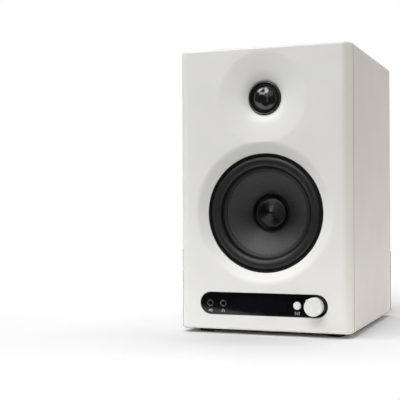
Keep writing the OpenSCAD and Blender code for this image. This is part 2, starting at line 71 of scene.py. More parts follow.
# ------------------------------------------------------------------ places, all from the CAD
_baffle, _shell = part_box("front_baffle"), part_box("cabinet_shell")
Y0 = _baffle[0].y                       # plane of the front face
Z0 = _shell[0].z                        # underside of the cabinet


def size(node):
    lo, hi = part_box(node)
    return [(hi[i] - lo[i]) / MM for i in range(3)]


def mid(node):
    """Middle of a node's box: x and z in millimetres from the cabinet's own corner, y behind the front face."""
    lo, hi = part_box(node)
    c = (lo + hi) / 2
    return c.x / MM, (c.y - Y0) / MM, (c.z - Z0) / MM


def span_y(node):
    lo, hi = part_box(node)
    return (lo.y - Y0) / MM, (hi.y - Y0) / MM


def P(x, y, z):
    return Vector((x * MM, Y0 + y * MM, Z0 + z * MM))


CAB_W, _, CAB_H = size("cabinet_shell")
CAB_D = span_y("cabinet_shell")[1]
REAR = span_y("rear_panel")[1]
WX, _, WZ = mid("woofer_gasket")
TX, _, TZ = mid("tweeter_dome")
PX, _, PZ = mid("control_fascia")
KX, _, KZ = mid("encoder_shaft")
BX, _, BZ = mid("eq_button")
PORT_X, _, PORT_Z = mid("port_tube")
AX, _, AZ = mid("amp_plate")


# ------------------------------------------------------------------ mesh tools
def finish_mesh(name, bm, body, nodes=(), mat=None, angle=32, weighted=False):
    bmesh.ops.remove_doubles(bm, verts=bm.verts, dist=1e-7)
    bmesh.ops.dissolve_degenerate(bm, dist=1e-7, edges=bm.edges)
    bmesh.ops.recalc_face_normals(bm, faces=bm.faces)
    me = bpy.data.meshes.new(name)
    bm.to_mesh(me)
    bm.free()
    o = bpy.data.objects.new(name, me)
    S.collection.objects.link(o)
    return dress(o, body, nodes, mat, angle, weighted)


def dress(o, body, nodes=(), mat=None, angle=32, weighted=False):
    me = o.data
    me.polygons.foreach_set("use_smooth", [True] * len(me.polygons))
    me.set_sharp_from_angle(angle=math.radians(angle))
    if weighted:
        w = o.modifiers.new("weighted", "WEIGHTED_NORMAL")
        w.keep_sharp = True
    me.materials.clear()
    if mat is not None:
        me.materials.append(mat)
    if body:
        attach(o, body)
    if nodes:
        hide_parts(*nodes)
    return o


def add_lathe(bm, profile, cx, cz, seg=128):
    """Adds a closed solid of revolution about the depth axis. profile is a closed polygon of (radius, depth) in mm."""
    rings = []
    for r, y in profile:
        if r < 1e-4:
            rings.append([bm.verts.new(P(cx, y, cz))])
        else:
            rings.append([bm.verts.new(P(cx + r * math.cos(2 * math.pi * k / seg), y, cz + r * math.sin(2 * math.pi * k / seg))) for k in range(seg)])
    n = len(rings)
    for i in range(n):
        a, b = rings[i], rings[(i + 1) % n]
        if len(a) == 1 and len(b) == 1:
            continue
        for k in range(seg):
            j = (k + 1) % seg
            if len(a) == 1:
                bm.faces.new((a[0], b[k], b[j]))
            elif len(b) == 1:
                bm.faces.new((a[k], b[0], a[j]))
            else:
                bm.faces.new((a[k], b[k], b[j], a[j]))
    return bm


def lathe(name, profile, cx, cz, body, nodes=(), mat=None, seg=128, angle=32):
    return finish_mesh(name, add_lathe(bmesh.new(), profile, cx, cz, seg), body, nodes, mat, angle)


def add_loft(bm, loops, ring=False):
    """Adds a solid through loops of the same number of points. ring joins the last loop to the first; otherwise both ends are capped."""
    rows = [[bm.verts.new(p) for p in loop] for loop in loops]
    m = len(rows[0])
    for i in range(len(rows) if ring else len(rows) - 1):
        a, b = rows[i], rows[(i + 1) % len(rows)]
        for k in range(m):
            j = (k + 1) % m
            bm.faces.new((a[k], a[j], b[j], b[k]))
    if not ring:
        bm.faces.new(rows[0])
        bm.faces.new(rows[-1][::-1])
    return bm


def rrect(w, h, r, n=8):
    """Points of a rounded rectangle round the middle."""
    r = max(0.02, min(r, w / 2 - 1e-3, h / 2 - 1e-3))
    out = []
    for sx, sz, a0 in ((1, 1, 0), (-1, 1, 90), (-1, -1, 180), (1, -1, 270)):
        for k in range(n + 1):
            a = math.radians(a0 + 90 * k / n)
            out.append((sx * (w / 2 - r) + r * math.cos(a), sz * (h / 2 - r) + r * math.sin(a)))
    return out


def y_loop(cx, cz, w, h, r, y, n=8):
    return [P(cx + a, y, cz + b) for a, b in rrect(w, h, r, n)]


def soft_slab_loops(cx, cz, w, h, r, y0, y1, e0=0.3, e1=0.3, n=8, m=3):
    """Loops of a rounded-rectangle plate from depth y0 to y1 with rounded edges e0 at the front and e1 at the back."""
    loops = []
    for k in range(m + 1):
        a = math.radians(90 * k / m)
        i = e0 * (1 - math.sin(a))
        loops.append(y_loop(cx, cz, w - 2 * i, h - 2 * i, r - i, y0 + e0 * (1 - math.cos(a)), n))
    for k in range(m + 1):
        a = math.radians(90 * k / m)
        i = e1 * (1 - math.cos(a))
        loops.append(y_loop(cx, cz, w - 2 * i, h - 2 * i, r - i, y1 - e1 * (1 - math.sin(a)), n))
    return loops


def slab(name, cx, cz, w, h, r, y0, y1, body, nodes=(), slot=None, mat=None, e0=0.3, e1=0.3, n=8, angle=32):
    return finish_mesh(name, add_loft(bmesh.new(), soft_slab_loops(cx, cz, w, h, r, y0, y1, e0, e1, n)), body, nodes, mat, angle)


def add_box(bm, lo, hi, e=0.0):
    """Adds a block between two corners (Vectors in metres) with its edges rounded by e metres."""
    made = bmesh.ops.create_cube(bm, size=1.0)
    vs = made["verts"]
    c, d = (lo + hi) / 2, hi - lo
    for v in vs:
        v.co = Vector((c.x + v.co.x * d.x, c.y + v.co.y * d.y, c.z + v.co.z * d.z))
    if e:
        edges = list({x for v in vs for x in v.link_edges})
        bmesh.ops.bevel(bm, geom=edges, offset=e, segments=3, profile=0.5, affect="EDGES", clamp_overlap=True)
    return bm


def fillet(points, radius, n=4):
    """Rounds the corners of a closed polygon. radius is one number or one for each corner."""
    out = []
    m = len(points)
    for i, p in enumerate(points):
        r = radius[i] if isinstance(radius, (list, tuple)) else radius
        a, c = Vector(points[i - 1]), Vector(points[(i + 1) % m])
        b = Vector(p)
        u, v = a - b, c - b
        if r <= 0 or u.length < 1e-9 or v.length < 1e-9:
            out.append(tuple(b))
            continue
        ang = u.angle(v)
        if ang > math.radians(176) or ang < math.radians(4):
            out.append(tuple(b))
            continue
        t = min(r / math.tan(ang / 2), 0.48 * u.length, 0.48 * v.length)
        rr = t * math.tan(ang / 2)
        un, vn = u.normalized(), v.normalized()
        centre = b + (un + vn).normalized() * (rr / math.sin(ang / 2))
        s, e = b + un * t - centre, b + vn * t - centre
        turn = s.angle(e)
        sign = 1 if s.x * e.y - s.y * e.x > 0 else -1
        for k in range(n + 1):
            q = turn * k / n * sign
            out.append((centre.x + s.x * math.cos(q) - s.y * math.sin(q), centre.y + s.x * math.sin(q) + s.y * math.cos(q)))
    return out


def smooth_curve(points, n=5):
    """A smooth curve through points that never overshoots between them."""
    out = []
    m = len(points)
    t = [0.0]
    for i in range(1, m):
        t.append(t[-1] + math.dist(points[i], points[i - 1]))
    slopes = []
    for d in range(2):
        v = [p[d] for p in points]
        s = [(v[i + 1] - v[i]) / (t[i + 1] - t[i]) for i in range(m - 1)]
        g = [s[0]] + [0 if s[i - 1] * s[i] <= 0 else 2 * s[i - 1] * s[i] / (s[i - 1] + s[i]) for i in range(1, m - 1)] + [s[-1]]
        slopes.append(g)
    for i in range(m - 1):
        h = t[i + 1] - t[i]
        for k in range(n):
            u = k / n
            w = (2 * u**3 - 3 * u**2 + 1, u**3 - 2 * u**2 + u, -2 * u**3 + 3 * u**2, u**3 - u**2)
            out.append(tuple(w[0] * points[i][d] + w[1] * h * slopes[d][i] + w[2] * points[i + 1][d] + w[3] * h * slopes[d][i + 1] for d in range(2)))
    out.append(tuple(points[-1]))
    return out


def bare(bm, name="cutter"):
    bmesh.ops.recalc_face_normals(bm, faces=bm.faces)
    me = bpy.data.meshes.new(name)
    bm.to_mesh(me)
    bm.free()
    o = bpy.data.objects.new(name, me)
    S.collection.objects.link(o)
    return o


def boolean(o, cutters, op="DIFFERENCE"):
    """Applies one exact boolean for each cutter, and removes the cutters."""
    for c in cutters:
        m = o.modifiers.new("b", "BOOLEAN")
        m.operation, m.solver, m.object = op, "EXACT", c
        dg = bpy.context.evaluated_depsgraph_get()
        me = bpy.data.meshes.new_from_object(o.evaluated_get(dg))
        o.modifiers.clear()
        old, o.data = o.data, me
        bpy.data.meshes.remove(old)
        data = c.data
        bpy.data.objects.remove(c)
        bpy.data.meshes.remove(data)
    return o


def radial_blend(o, weight):
    """Bakes o's transform and works out a weight from 0 to 1 for each vertex, as weight(x, depth, z) in mm gives it;
    the weights are not used.
    """
    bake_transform(o)
    w = [weight(v.co.x / MM, (v.co.y - Y0) / MM, (v.co.z - Z0) / MM) for v in o.data.vertices]


def ramp(x, x0, x1):
    t = min(1.0, max(0.0, (x - x0) / (x1 - x0)))
    return t * t * (3 - 2 * t)


# ------------------------------------------------------------------ materials
class Mat:
    """A small builder for node materials. Coordinates are the object's own, in metres."""

    def __init__(self, name, color=(0.5, 0.5, 0.5), rough=0.5, metal=0.0, **inputs):
        self.m = bpy.data.materials.new(name)
        self.m.use_nodes = True
        self.nt = self.m.node_tree
        self.b = self.nt.nodes["Principled BSDF"]
        self.b.inputs["Base Color"].default_value = (*color, 1)
        self.b.inputs["Roughness"].default_value = rough
        self.b.inputs["Metallic"].default_value = metal
        for k, v in inputs.items():
            self.b.inputs[k.replace("_", " ")].default_value = v
        self.co = self.node("ShaderNodeTexCoord").outputs["Object"]
        self.normal = None
        self.m.diffuse_color = (*color, 1)

    def node(self, kind, **props):
        n = self.nt.nodes.new(kind)
        for k, v in props.items():
            setattr(n, k, v)
        return n

    def link(self, a, b):
        self.nt.links.new(a, b)

    def math(self, op, a, b=None, clamp=False):
        n = self.node("ShaderNodeMath", operation=op, use_clamp=clamp)
        for i, v in enumerate((a, b)):
            if v is None:
                continue
            if isinstance(v, (int, float)):
                n.inputs[i].default_value = v
            else:
                self.link(v, n.inputs[i])
        return n.outputs[0]

    def axes(self, co=None):
        n = self.node("ShaderNodeSeparateXYZ")
        self.link(co or self.co, n.inputs[0])
        return n.outputs[0], n.outputs[1], n.outputs[2]

    def scaled(self, sx, sy, sz, rot=(0, 0, 0)):
        n = self.node("ShaderNodeMapping")
        n.inputs["Scale"].default_value = (sx, sy, sz)
        n.inputs["Rotation"].default_value = rot
        self.link(self.co, n.inputs["Vector"])
        return n.outputs[0]

    def noise(self, scale, detail=3.0, rough=0.5, co=None, distortion=0.0):
        n = self.node("ShaderNodeTexNoise")
        n.inputs["Scale"].default_value = scale
        n.inputs["Detail"].default_value = detail
        n.inputs["Roughness"].default_value = rough
        n.inputs["Distortion"].default_value = distortion
        self.link(co or self.co, n.inputs["Vector"])
        return n.outputs["Fac"]

    def voronoi(self, scale, feature="F1", co=None):
        n = self.node("ShaderNodeTexVoronoi", feature=feature)
        n.inputs["Scale"].default_value = scale
        self.link(co or self.co, n.inputs["Vector"])
        return n.outputs["Distance"]

    def remap(self, v, a0, a1, b0, b1, smooth=False):
        n = self.node("ShaderNodeMapRange")
        if smooth:
            n.interpolation_type = "SMOOTHSTEP"
        for i, x in enumerate((a0, a1, b0, b1)):
            n.inputs[i + 1].default_value = x
        self.link(v, n.inputs[0])
        return n.outputs[0]

    def mix(self, fac, c0, c1):
        n = self.node("ShaderNodeMix", data_type="RGBA")
        self.link(fac, n.inputs[0])
        for i, c in ((6, c0), (7, c1)):
            if isinstance(c, (tuple, list)):
                n.inputs[i].default_value = (*c[:3], 1)
            else:
                self.link(c, n.inputs[i])
        return n.outputs[2]

    def color(self, out):
        self.link(out, self.b.inputs["Base Color"])
        return self

    def rough(self, out):
        self.link(out, self.b.inputs["Roughness"])
        return self

    def bump(self, height, strength, dist):
        n = self.node("ShaderNodeBump")
        n.inputs["Strength"].default_value = strength
        n.inputs["Distance"].default_value = dist
        self.link(height, n.inputs["Height"])
        if self.normal is not None:
            self.link(self.normal, n.inputs["Normal"])
        self.normal = n.outputs[0]
        self.link(self.normal, self.b.inputs["Normal"])
        return self


def speckled(name, c0, c1, rough, dr=0.06, metal=0.0, fine=1500, coarse=40, bump=0.15, dist=0.00004, **inputs):
    """A moulded or painted surface: slow colour drift, fine grain, uneven gloss."""
    m = Mat(name, c0, rough, metal, **inputs)
    m.color(m.mix(m.remap(m.noise(coarse, 4, 0.6), 0.3, 0.7, 0, 1), c0, c1))
    m.rough(m.remap(m.noise(coarse * 2.3, 3, 0.6), 0.3, 0.7, rough - dr, rough + dr))
    m.bump(m.noise(fine, 2, 0.6), bump, dist)
    return m


def brushed(name, c0, c1, rough, metal=1.0, stretch=(60, 2500, 2500), **inputs):
    m = Mat(name, c0, rough, metal, **inputs)
    lines = m.noise(1.0, 3, 0.6, m.scaled(*stretch))
    m.color(m.mix(m.remap(lines, 0.3, 0.7, 0, 1), c0, c1))
    m.rough(m.remap(lines, 0.3, 0.7, rough - 0.08, rough + 0.08))
    m.bump(lines, 0.12, 0.00003)
    return m


def paint(name, c0, c1, rough, edge=None):
    """Sprayed matte paint: very light orange peel and dust-fine grain. With edge, it tends to that colour round the
    right-hand edge: a painted warm tint that stands in for the warm light falling on that rounded corner.
    """
    m = Mat(name, c0, rough)
    c = m.mix(m.remap(m.noise(22, 3, 0.5), 0.35, 0.65, 0, 1), c0, c1)
    if edge:
        # painted warm light: the colour turns warmer towards the right-hand rounded edge
        c = m.mix(m.remap(m.axes()[0], 0.0785, 0.0845, 0, 1, True), c, edge)
    m.color(c)
    m.rough(m.remap(m.noise(55, 3, 0.6), 0.3, 0.7, rough - 0.05, rough + 0.05))
    m.bump(m.noise(900, 2, 0.5), 0.10, 0.00004)
    m.bump(m.noise(4200, 1, 0.5), 0.10, 0.00002)
    return m


# its edge colour is painted warm light on the right-hand rounded corner of the baffle
WHITE = paint("white_paint", (0.804, 0.80, 0.768), (0.782, 0.778, 0.746), 0.46, (0.81, 0.782, 0.715))
# the same white paint made warmer for the sides and the back: painted warm light, standing in for the warm light on the
# side
WHITE_SIDE_WARM_LIT = paint("white_paint_side_warm_lit", (0.806, 0.786, 0.748), (0.786, 0.766, 0.728), 0.5)
RUBBER = speckled("foot_rubber", (0.016, 0.016, 0.017), (0.03, 0.03, 0.031), 0.62, fine=2200, bump=0.35)
BLACK_PLASTIC = speckled("black_plastic", (0.012, 0.012, 0.013), (0.018, 0.018, 0.019), 0.40, fine=2600, bump=0.12)
# the real colour of the gasket, also used as painted shade in the surround's fold and round the tweeter ring's ridges
GASKET_AND_SHADE = speckled("gasket_black_and_painted_shade", (0.0022, 0.0022, 0.0024), (0.004, 0.004, 0.0043), 0.55, fine=2600, bump=0.15, Specular_IOR_Level=0.25)
RING = speckled("ring_black", (0.034, 0.034, 0.0345), (0.048, 0.048, 0.0485), 0.30, fine=2600, bump=0.06, Specular_IOR_Level=0.75)
BLACK_GLOSS = speckled("black_gloss", (0.006, 0.006, 0.007), (0.009, 0.009, 0.010), 0.12, dr=0.03, fine=1200, bump=0.02, dist=0.00001)
WHITE_PLASTIC = speckled("white_plastic", (0.80, 0.80, 0.785), (0.76, 0.76, 0.745), 0.36, fine=2600, coarse=160, bump=0.10)
BASKET = speckled("basket_paint", (0.02, 0.02, 0.022), (0.035, 0.035, 0.037), 0.5, metal=0.3, fine=1800, bump=0.3)
PLATE = speckled("plate_powder_coat", (0.020, 0.020, 0.022), (0.032, 0.032, 0.034), 0.52, metal=0.2, fine=1500, coarse=60, bump=0.5, dist=0.00008)
SINK = brushed("anodised_black", (0.018, 0.018, 0.020), (0.035, 0.035, 0.038), 0.38, 0.75, (2500, 2500, 60))
STEEL = brushed("zinc_steel", (0.50, 0.51, 0.53), (0.62, 0.63, 0.64), 0.32)
GOLD = brushed("gold_plate", (0.83, 0.60, 0.24), (0.90, 0.68, 0.32), 0.20, 1.0, (1500, 200, 1500))
BLACK_SCREW = speckled("black_screw", (0.022, 0.022, 0.023), (0.05, 0.05, 0.05), 0.34, metal=0.8, fine=2600, bump=0.2)
FERRITE = speckled("ferrite", (0.035, 0.035, 0.037), (0.06, 0.06, 0.062), 0.62, fine=1500, bump=0.6, dist=0.0001)
RED = speckled("red_clear_plastic", (0.36, 0.008, 0.008), (0.44, 0.014, 0.012), 0.14, dr=0.03, fine=900, bump=0.03, **{"Coat_Weight": 0.5})
SWITCH = speckled("switch_plastic", (0.05, 0.05, 0.055), (0.07, 0.07, 0.075), 0.5, fine=2600, bump=0.2)
ALU = brushed("turned_alu", (0.70, 0.70, 0.71), (0.80, 0.80, 0.81), 0.28)
BARE_WOOD = Mat("fibreboard", (0.45, 0.30, 0.17), 0.75)
BARE_WOOD.color(BARE_WOOD.mix(BARE_WOOD.remap(BARE_WOOD.noise(900, 4, 0.7), 0.3, 0.7, 0, 1), (0.40, 0.26, 0.14), (0.52, 0.37, 0.22)))
BARE_WOOD.bump(BARE_WOOD.noise(1400, 4, 0.7), 0.5, 0.0002)


def copper_winding():
    """Enamelled wire, wound in close turns along the depth axis."""
    m = Mat("copper_winding", (0.55, 0.20, 0.07), 0.30, 1.0, Coat_Weight=0.4)
    x, y, z = m.axes()
    turns = m.math("SINE", m.math("MULTIPLY", y, 2 * math.pi / 0.0006))
    m.color(m.mix(m.remap(turns, -1, 1, 0, 1), (0.30, 0.09, 0.03), (0.66, 0.26, 0.10)))
    m.rough(m.remap(m.noise(700), 0.3, 0.7, 0.24, 0.38))
    m.bump(turns, 0.7, 0.0001)
    return m


def cone_weave():
    """Plain weave of matte dark fibre, laid diagonally. The two thread directions differ in tone and gloss, and the
    neck is darker: painted shade round the well of the dust cap.
    """
    m = Mat("cone_weave", (0.010, 0.010, 0.0105), 0.44, Specular_IOR_Level=0.70)
    co = m.scaled(1, 1, 1, (0, math.radians(52), 0))
    x, y, z = m.axes(co)
    k = math.pi / 0.00150
    wob = m.math("MULTIPLY", m.math("SUBTRACT", m.noise(120, 2, 0.5), 0.5), 0.9)
    su = m.math("SINE", m.math("ADD", m.math("MULTIPLY", x, k), wob))
    sv = m.math("SINE", m.math("ADD", m.math("MULTIPLY", z, k), wob))
    over = m.math("GREATER_THAN", m.math("MULTIPLY", su, sv), 0.0)
    au, av = m.math("ABSOLUTE", su), m.math("ABSOLUTE", sv)
    h = m.math("ADD", m.math("MULTIPLY", over, au), m.math("MULTIPLY", m.math("SUBTRACT", 1.0, over), av))
    fibre = m.noise(2600, 2, 0.6)
    tone = m.math("ADD", m.math("ADD", m.math("MULTIPLY", h, 0.35), m.math("MULTIPLY", fibre, 0.35)), m.math("MULTIPLY", over, 0.55))
    dx, dz = m.math("SUBTRACT", m.axes()[0], P(WX, 0, WZ).x), m.math("SUBTRACT", m.axes()[2], P(WX, 0, WZ).z)
    r = m.math("SQRT", m.math("ADD", m.math("MULTIPLY", dx, dx), m.math("MULTIPLY", dz, dz)))
    # painted shade: the colour darkens towards the neck, where the well round the dust cap lies in shade
    neck = m.remap(r, 0.020, 0.036, 1, 0, True)
    cloth = m.mix(m.remap(tone, 0.2, 1.15, 0, 1), (0.0018, 0.0018, 0.0020), (0.0180, 0.0180, 0.0188))
    m.color(m.mix(neck, cloth, (0.004, 0.004, 0.0042)))
    m.rough(m.math("ADD", m.remap(over, 0, 1, 0.52, 0.38), m.remap(fibre, 0.3, 0.7, -0.05, 0.05)))
    m.bump(h, 0.7, 0.00022)
    m.bump(fibre, 0.25, 0.00005)
    return m


def rubber_roll():
    """Satin butyl: fine moulded grain and faint dust."""
    m = Mat("surround_rubber", (0.006, 0.006, 0.0065), 0.45, Specular_IOR_Level=0.48)
    dust = m.noise(300, 4, 0.7)
    m.color(m.mix(m.remap(dust, 0.35, 0.75, 0, 1), (0.0025, 0.0025, 0.0027), (0.007, 0.007, 0.0074)))
    m.rough(m.remap(m.noise(90, 3, 0.6), 0.3, 0.7, 0.42, 0.52))
    m.bump(m.noise(2400, 2, 0.6), 0.22, 0.00004)
    return m


def dust_cap():
    m = Mat("dust_cap", (0.002, 0.002, 0.0022), 0.22, Specular_IOR_Level=0.36)
    m.color(m.mix(m.remap(m.noise(350, 3, 0.6), 0.3, 0.7, 0, 1), (0.0014, 0.0014, 0.0015), (0.003, 0.003, 0.0032)))
    dx, dz = m.math("SUBTRACT", m.axes()[0], P(WX, 0, WZ).x), m.math("SUBTRACT", m.axes()[2], P(WX, 0, WZ).z)
    r = m.math("SQRT", m.math("ADD", m.math("MULTIPLY", dx, dx), m.math("MULTIPLY", dz, dz)))
    rim = m.remap(r, 0.0118, 0.0135, 0, 0.24, True)
    m.rough(m.math("ADD", m.remap(m.noise(220, 3, 0.6), 0.3, 0.7, 0.19, 0.25), rim))
    m.bump(m.noise(2600, 2, 0.6), 0.12, 0.00003)
    return m


def dome_cloth():
    """Coated cloth dome: a glossy skin over a very fine weave."""
    m = Mat("dome_cloth", (0.006, 0.006, 0.007), 0.16, Coat_Weight=0.6, Coat_Roughness=0.13)
    x, y, z = m.axes()
    k = math.pi / 0.0004
    h = m.math("MULTIPLY", m.math("SINE", m.math("MULTIPLY", x, k)), m.math("SINE", m.math("MULTIPLY", z, k)))
    m.color(m.mix(m.remap(m.noise(600, 3, 0.6), 0.3, 0.7, 0, 1), (0.004, 0.004, 0.005), (0.010, 0.010, 0.011)))
    m.rough(m.remap(m.noise(300, 3, 0.6), 0.3, 0.7, 0.13, 0.21))
    m.bump(h, 0.05, 0.00002)
    m.bump(m.noise(180, 2, 0.5), 0.10, 0.00012)
    return m


def fascia():
    """High-gloss black, tinted blue where the display lies behind it."""
    m = Mat("fascia_gloss", (0.0012, 0.0012, 0.0014), 0.06)
    x, y, z = m.axes()
    x0, x1, zc, zh = -36 * MM, 25 * MM, P(0, 0, PZ).z, 7.6 * MM
    e = 0.0034
    inside = m.math("MULTIPLY", m.remap(x, x0, x0 + 4 * e, 0, 1, True), m.remap(x, x1 - e, x1, 1, 0, True))
    dz = m.math("ABSOLUTE", m.math("SUBTRACT", z, zc))
    inside = m.math("MULTIPLY", inside, m.remap(dz, zh - e, zh, 1, 0, True))
    cells = m.math("MULTIPLY", m.math("SINE", m.math("MULTIPLY", x, 2 * math.pi / 0.0006)), m.math("SINE", m.math("MULTIPLY", z, 2 * math.pi / 0.0006)))
    tint = m.mix(m.remap(cells, -1, 1, 0, 1), (0.0014, 0.0023, 0.0043), (0.0024, 0.0036, 0.0063))
    m.color(m.mix(inside, m.mix(m.remap(m.noise(200), 0.3, 0.7, 0, 1), (0.0009, 0.0009, 0.001), (0.0016, 0.0016, 0.0018)), tint))
    m.rough(m.remap(m.noise(120, 3, 0.6), 0.3, 0.7, 0.045, 0.08))
    m.bump(m.noise(60, 2, 0.5), 0.02, 0.00005)
    return m


def circuit_board():
    """Solder mask with tracks, pads and ground fill."""
    m = Mat("circuit_board", (0.01, 0.08, 0.04), 0.35)
    co = m.scaled(1, 1, 1)
    n = m.node("ShaderNodeTexBrick")
    n.inputs["Scale"].default_value = 160
    n.inputs["Mortar Size"].default_value = 0.06
    m.link(co, n.inputs["Vector"])
    pads = m.voronoi(240)
    base = m.mix(n.outputs["Fac"], (0.008, 0.075, 0.035), (0.020, 0.13, 0.06))
    m.color(m.mix(m.remap(pads, 0.12, 0.16, 1, 0), base, (0.65, 0.62, 0.55)))
    m.rough(m.remap(m.noise(400), 0.3, 0.7, 0.28, 0.42))
    m.bump(n.outputs["Fac"], 0.3, 0.00005)
    return m


def foam():
    m = Mat("open_foam", (0.045, 0.045, 0.048), 0.95)
    v = m.voronoi(1100)
    m.color(m.mix(m.remap(v, 0.1, 0.7, 0, 1), (0.018, 0.018, 0.020), (0.07, 0.07, 0.075)))
    m.bump(v, 0.9, 0.0006)
    return m


def spider_cloth():
    m = Mat("spider_cloth", (0.50, 0.33, 0.12), 0.7)
    x, y, z = m.axes()
    k = math.pi / 0.0005
    h = m.math("MULTIPLY", m.math("SINE", m.math("MULTIPLY", x, k)), m.math("SINE", m.math("MULTIPLY", z, k)))
    m.color(m.mix(m.remap(h, -1, 1, 0, 1), (0.36, 0.22, 0.07), (0.58, 0.40, 0.16)))
    m.bump(h, 0.6, 0.0001)
    return m


def insulation():
    """Three leads in one material: the colour follows where each one runs."""
    m = Mat("wire_insulation", (0.30, 0.03, 0.02), 0.42)
    x, y, z = m.axes()
    low = m.remap(z, 0.060, 0.080, 1, 0)
    high = m.remap(z, 0.130, 0.140, 0, 1)
    c = m.mix(high, (0.34, 0.02, 0.015), (0.55, 0.42, 0.05))
    c = m.mix(low, c, (0.18, 0.18, 0.19))
    m.color(m.mix(m.remap(m.noise(300), 0.3, 0.7, 0, 0.3), c, (0.05, 0.05, 0.05)))
    m.rough(m.remap(m.noise(500), 0.3, 0.7, 0.36, 0.48))
    m.bump(m.noise(1500), 0.15, 0.00005)
    return m


def capacitor():
    """Dark blue sleeve: tone that drifts at random, uneven gloss and fine grain."""
    m = Mat("capacitor_sleeve", (0.02, 0.035, 0.09), 0.32)
    n = m.noise(260, 3, 0.6)
    m.color(m.mix(m.remap(n, 0.3, 0.7, 0, 1), (0.014, 0.024, 0.07), (0.030, 0.05, 0.12)))
    m.rough(m.remap(n, 0.3, 0.7, 0.26, 0.38))
    m.bump(m.noise(900), 0.1, 0.00005)
    return m


COPPER, CONE, ROLL, CAP, DOME, FASCIA = copper_winding(), cone_weave(), rubber_roll(), dust_cap(), dome_cloth(), fascia()
BOARD, FOAM, SPIDER, WIRE, CAPACITOR = circuit_board(), foam(), spider_cloth(), insulation(), capacitor()
TAPE = speckled("transformer_tape", (0.55, 0.40, 0.05), (0.62, 0.47, 0.08), 0.38, fine=700, bump=0.2)
MARK = speckled("printed_mark", (0.62, 0.62, 0.63), (0.70, 0.70, 0.71), 0.5, fine=2000, bump=0.05)
JACK = speckled("jack_grey", (0.045, 0.045, 0.047), (0.065, 0.065, 0.068), 0.36, fine=2600, coarse=200, bump=0.15)
# near-black for the depths of the sockets: painted shade; no piece is given it
DEEP = speckled("jack_depth", (0.004, 0.004, 0.004), (0.007, 0.007, 0.007), 0.6, fine=2600, bump=0.2)

# painted shade: the dark colour of the seam between baffle and shell
SEAM_SHADE = speckled("seam_painted_shade", (0.20, 0.195, 0.18), (0.26, 0.255, 0.24), 0.7, fine=1800, bump=0.3)

CAD_LOOKS = {
    "internal_brace": BARE_WOOD, "woofer_basket": BASKET, "voice_coil_former": ALU, "voice_coil_winding": COPPER,
    "woofer_top_plate": STEEL, "woofer_magnet": FERRITE, "woofer_yoke": STEEL, "woofer_terminals": GOLD,
    "mounting_screws": BLACK_SCREW, "tweeter_coil": COPPER, "tweeter_top_plate": STEEL, "tweeter_magnet": FERRITE,
    "tweeter_yoke": STEEL, "tweeter_terminals": GOLD, "display_module": BLACK_GLOSS, "front_board": BOARD,
    "eq_switch_plunger": SWITCH, "eq_switch_body": SWITCH, "encoder_shaft": ALU, "encoder_plunger": SWITCH,
    "encoder_body": SWITCH, "amp_board": BOARD, "capacitors": CAPACITOR, "power_supply_board": BOARD,
    "power_transformer": TAPE, "crossover_board": BOARD, "crossover_coils": COPPER, "internal_wiring": WIRE,
}
for node, look in CAD_LOOKS.items():
    o = N[node]
    o.data.materials.clear()
    o.data.materials.append(look.m)
    o.data.polygons.foreach_set("material_index", [0] * len(o.data.polygons))


# ------------------------------------------------------------------ cabinet
def arc_inset(y, r):
    return r - math.sqrt(max(0.0, r * r - (r - y) ** 2)) if y < r else 0.0


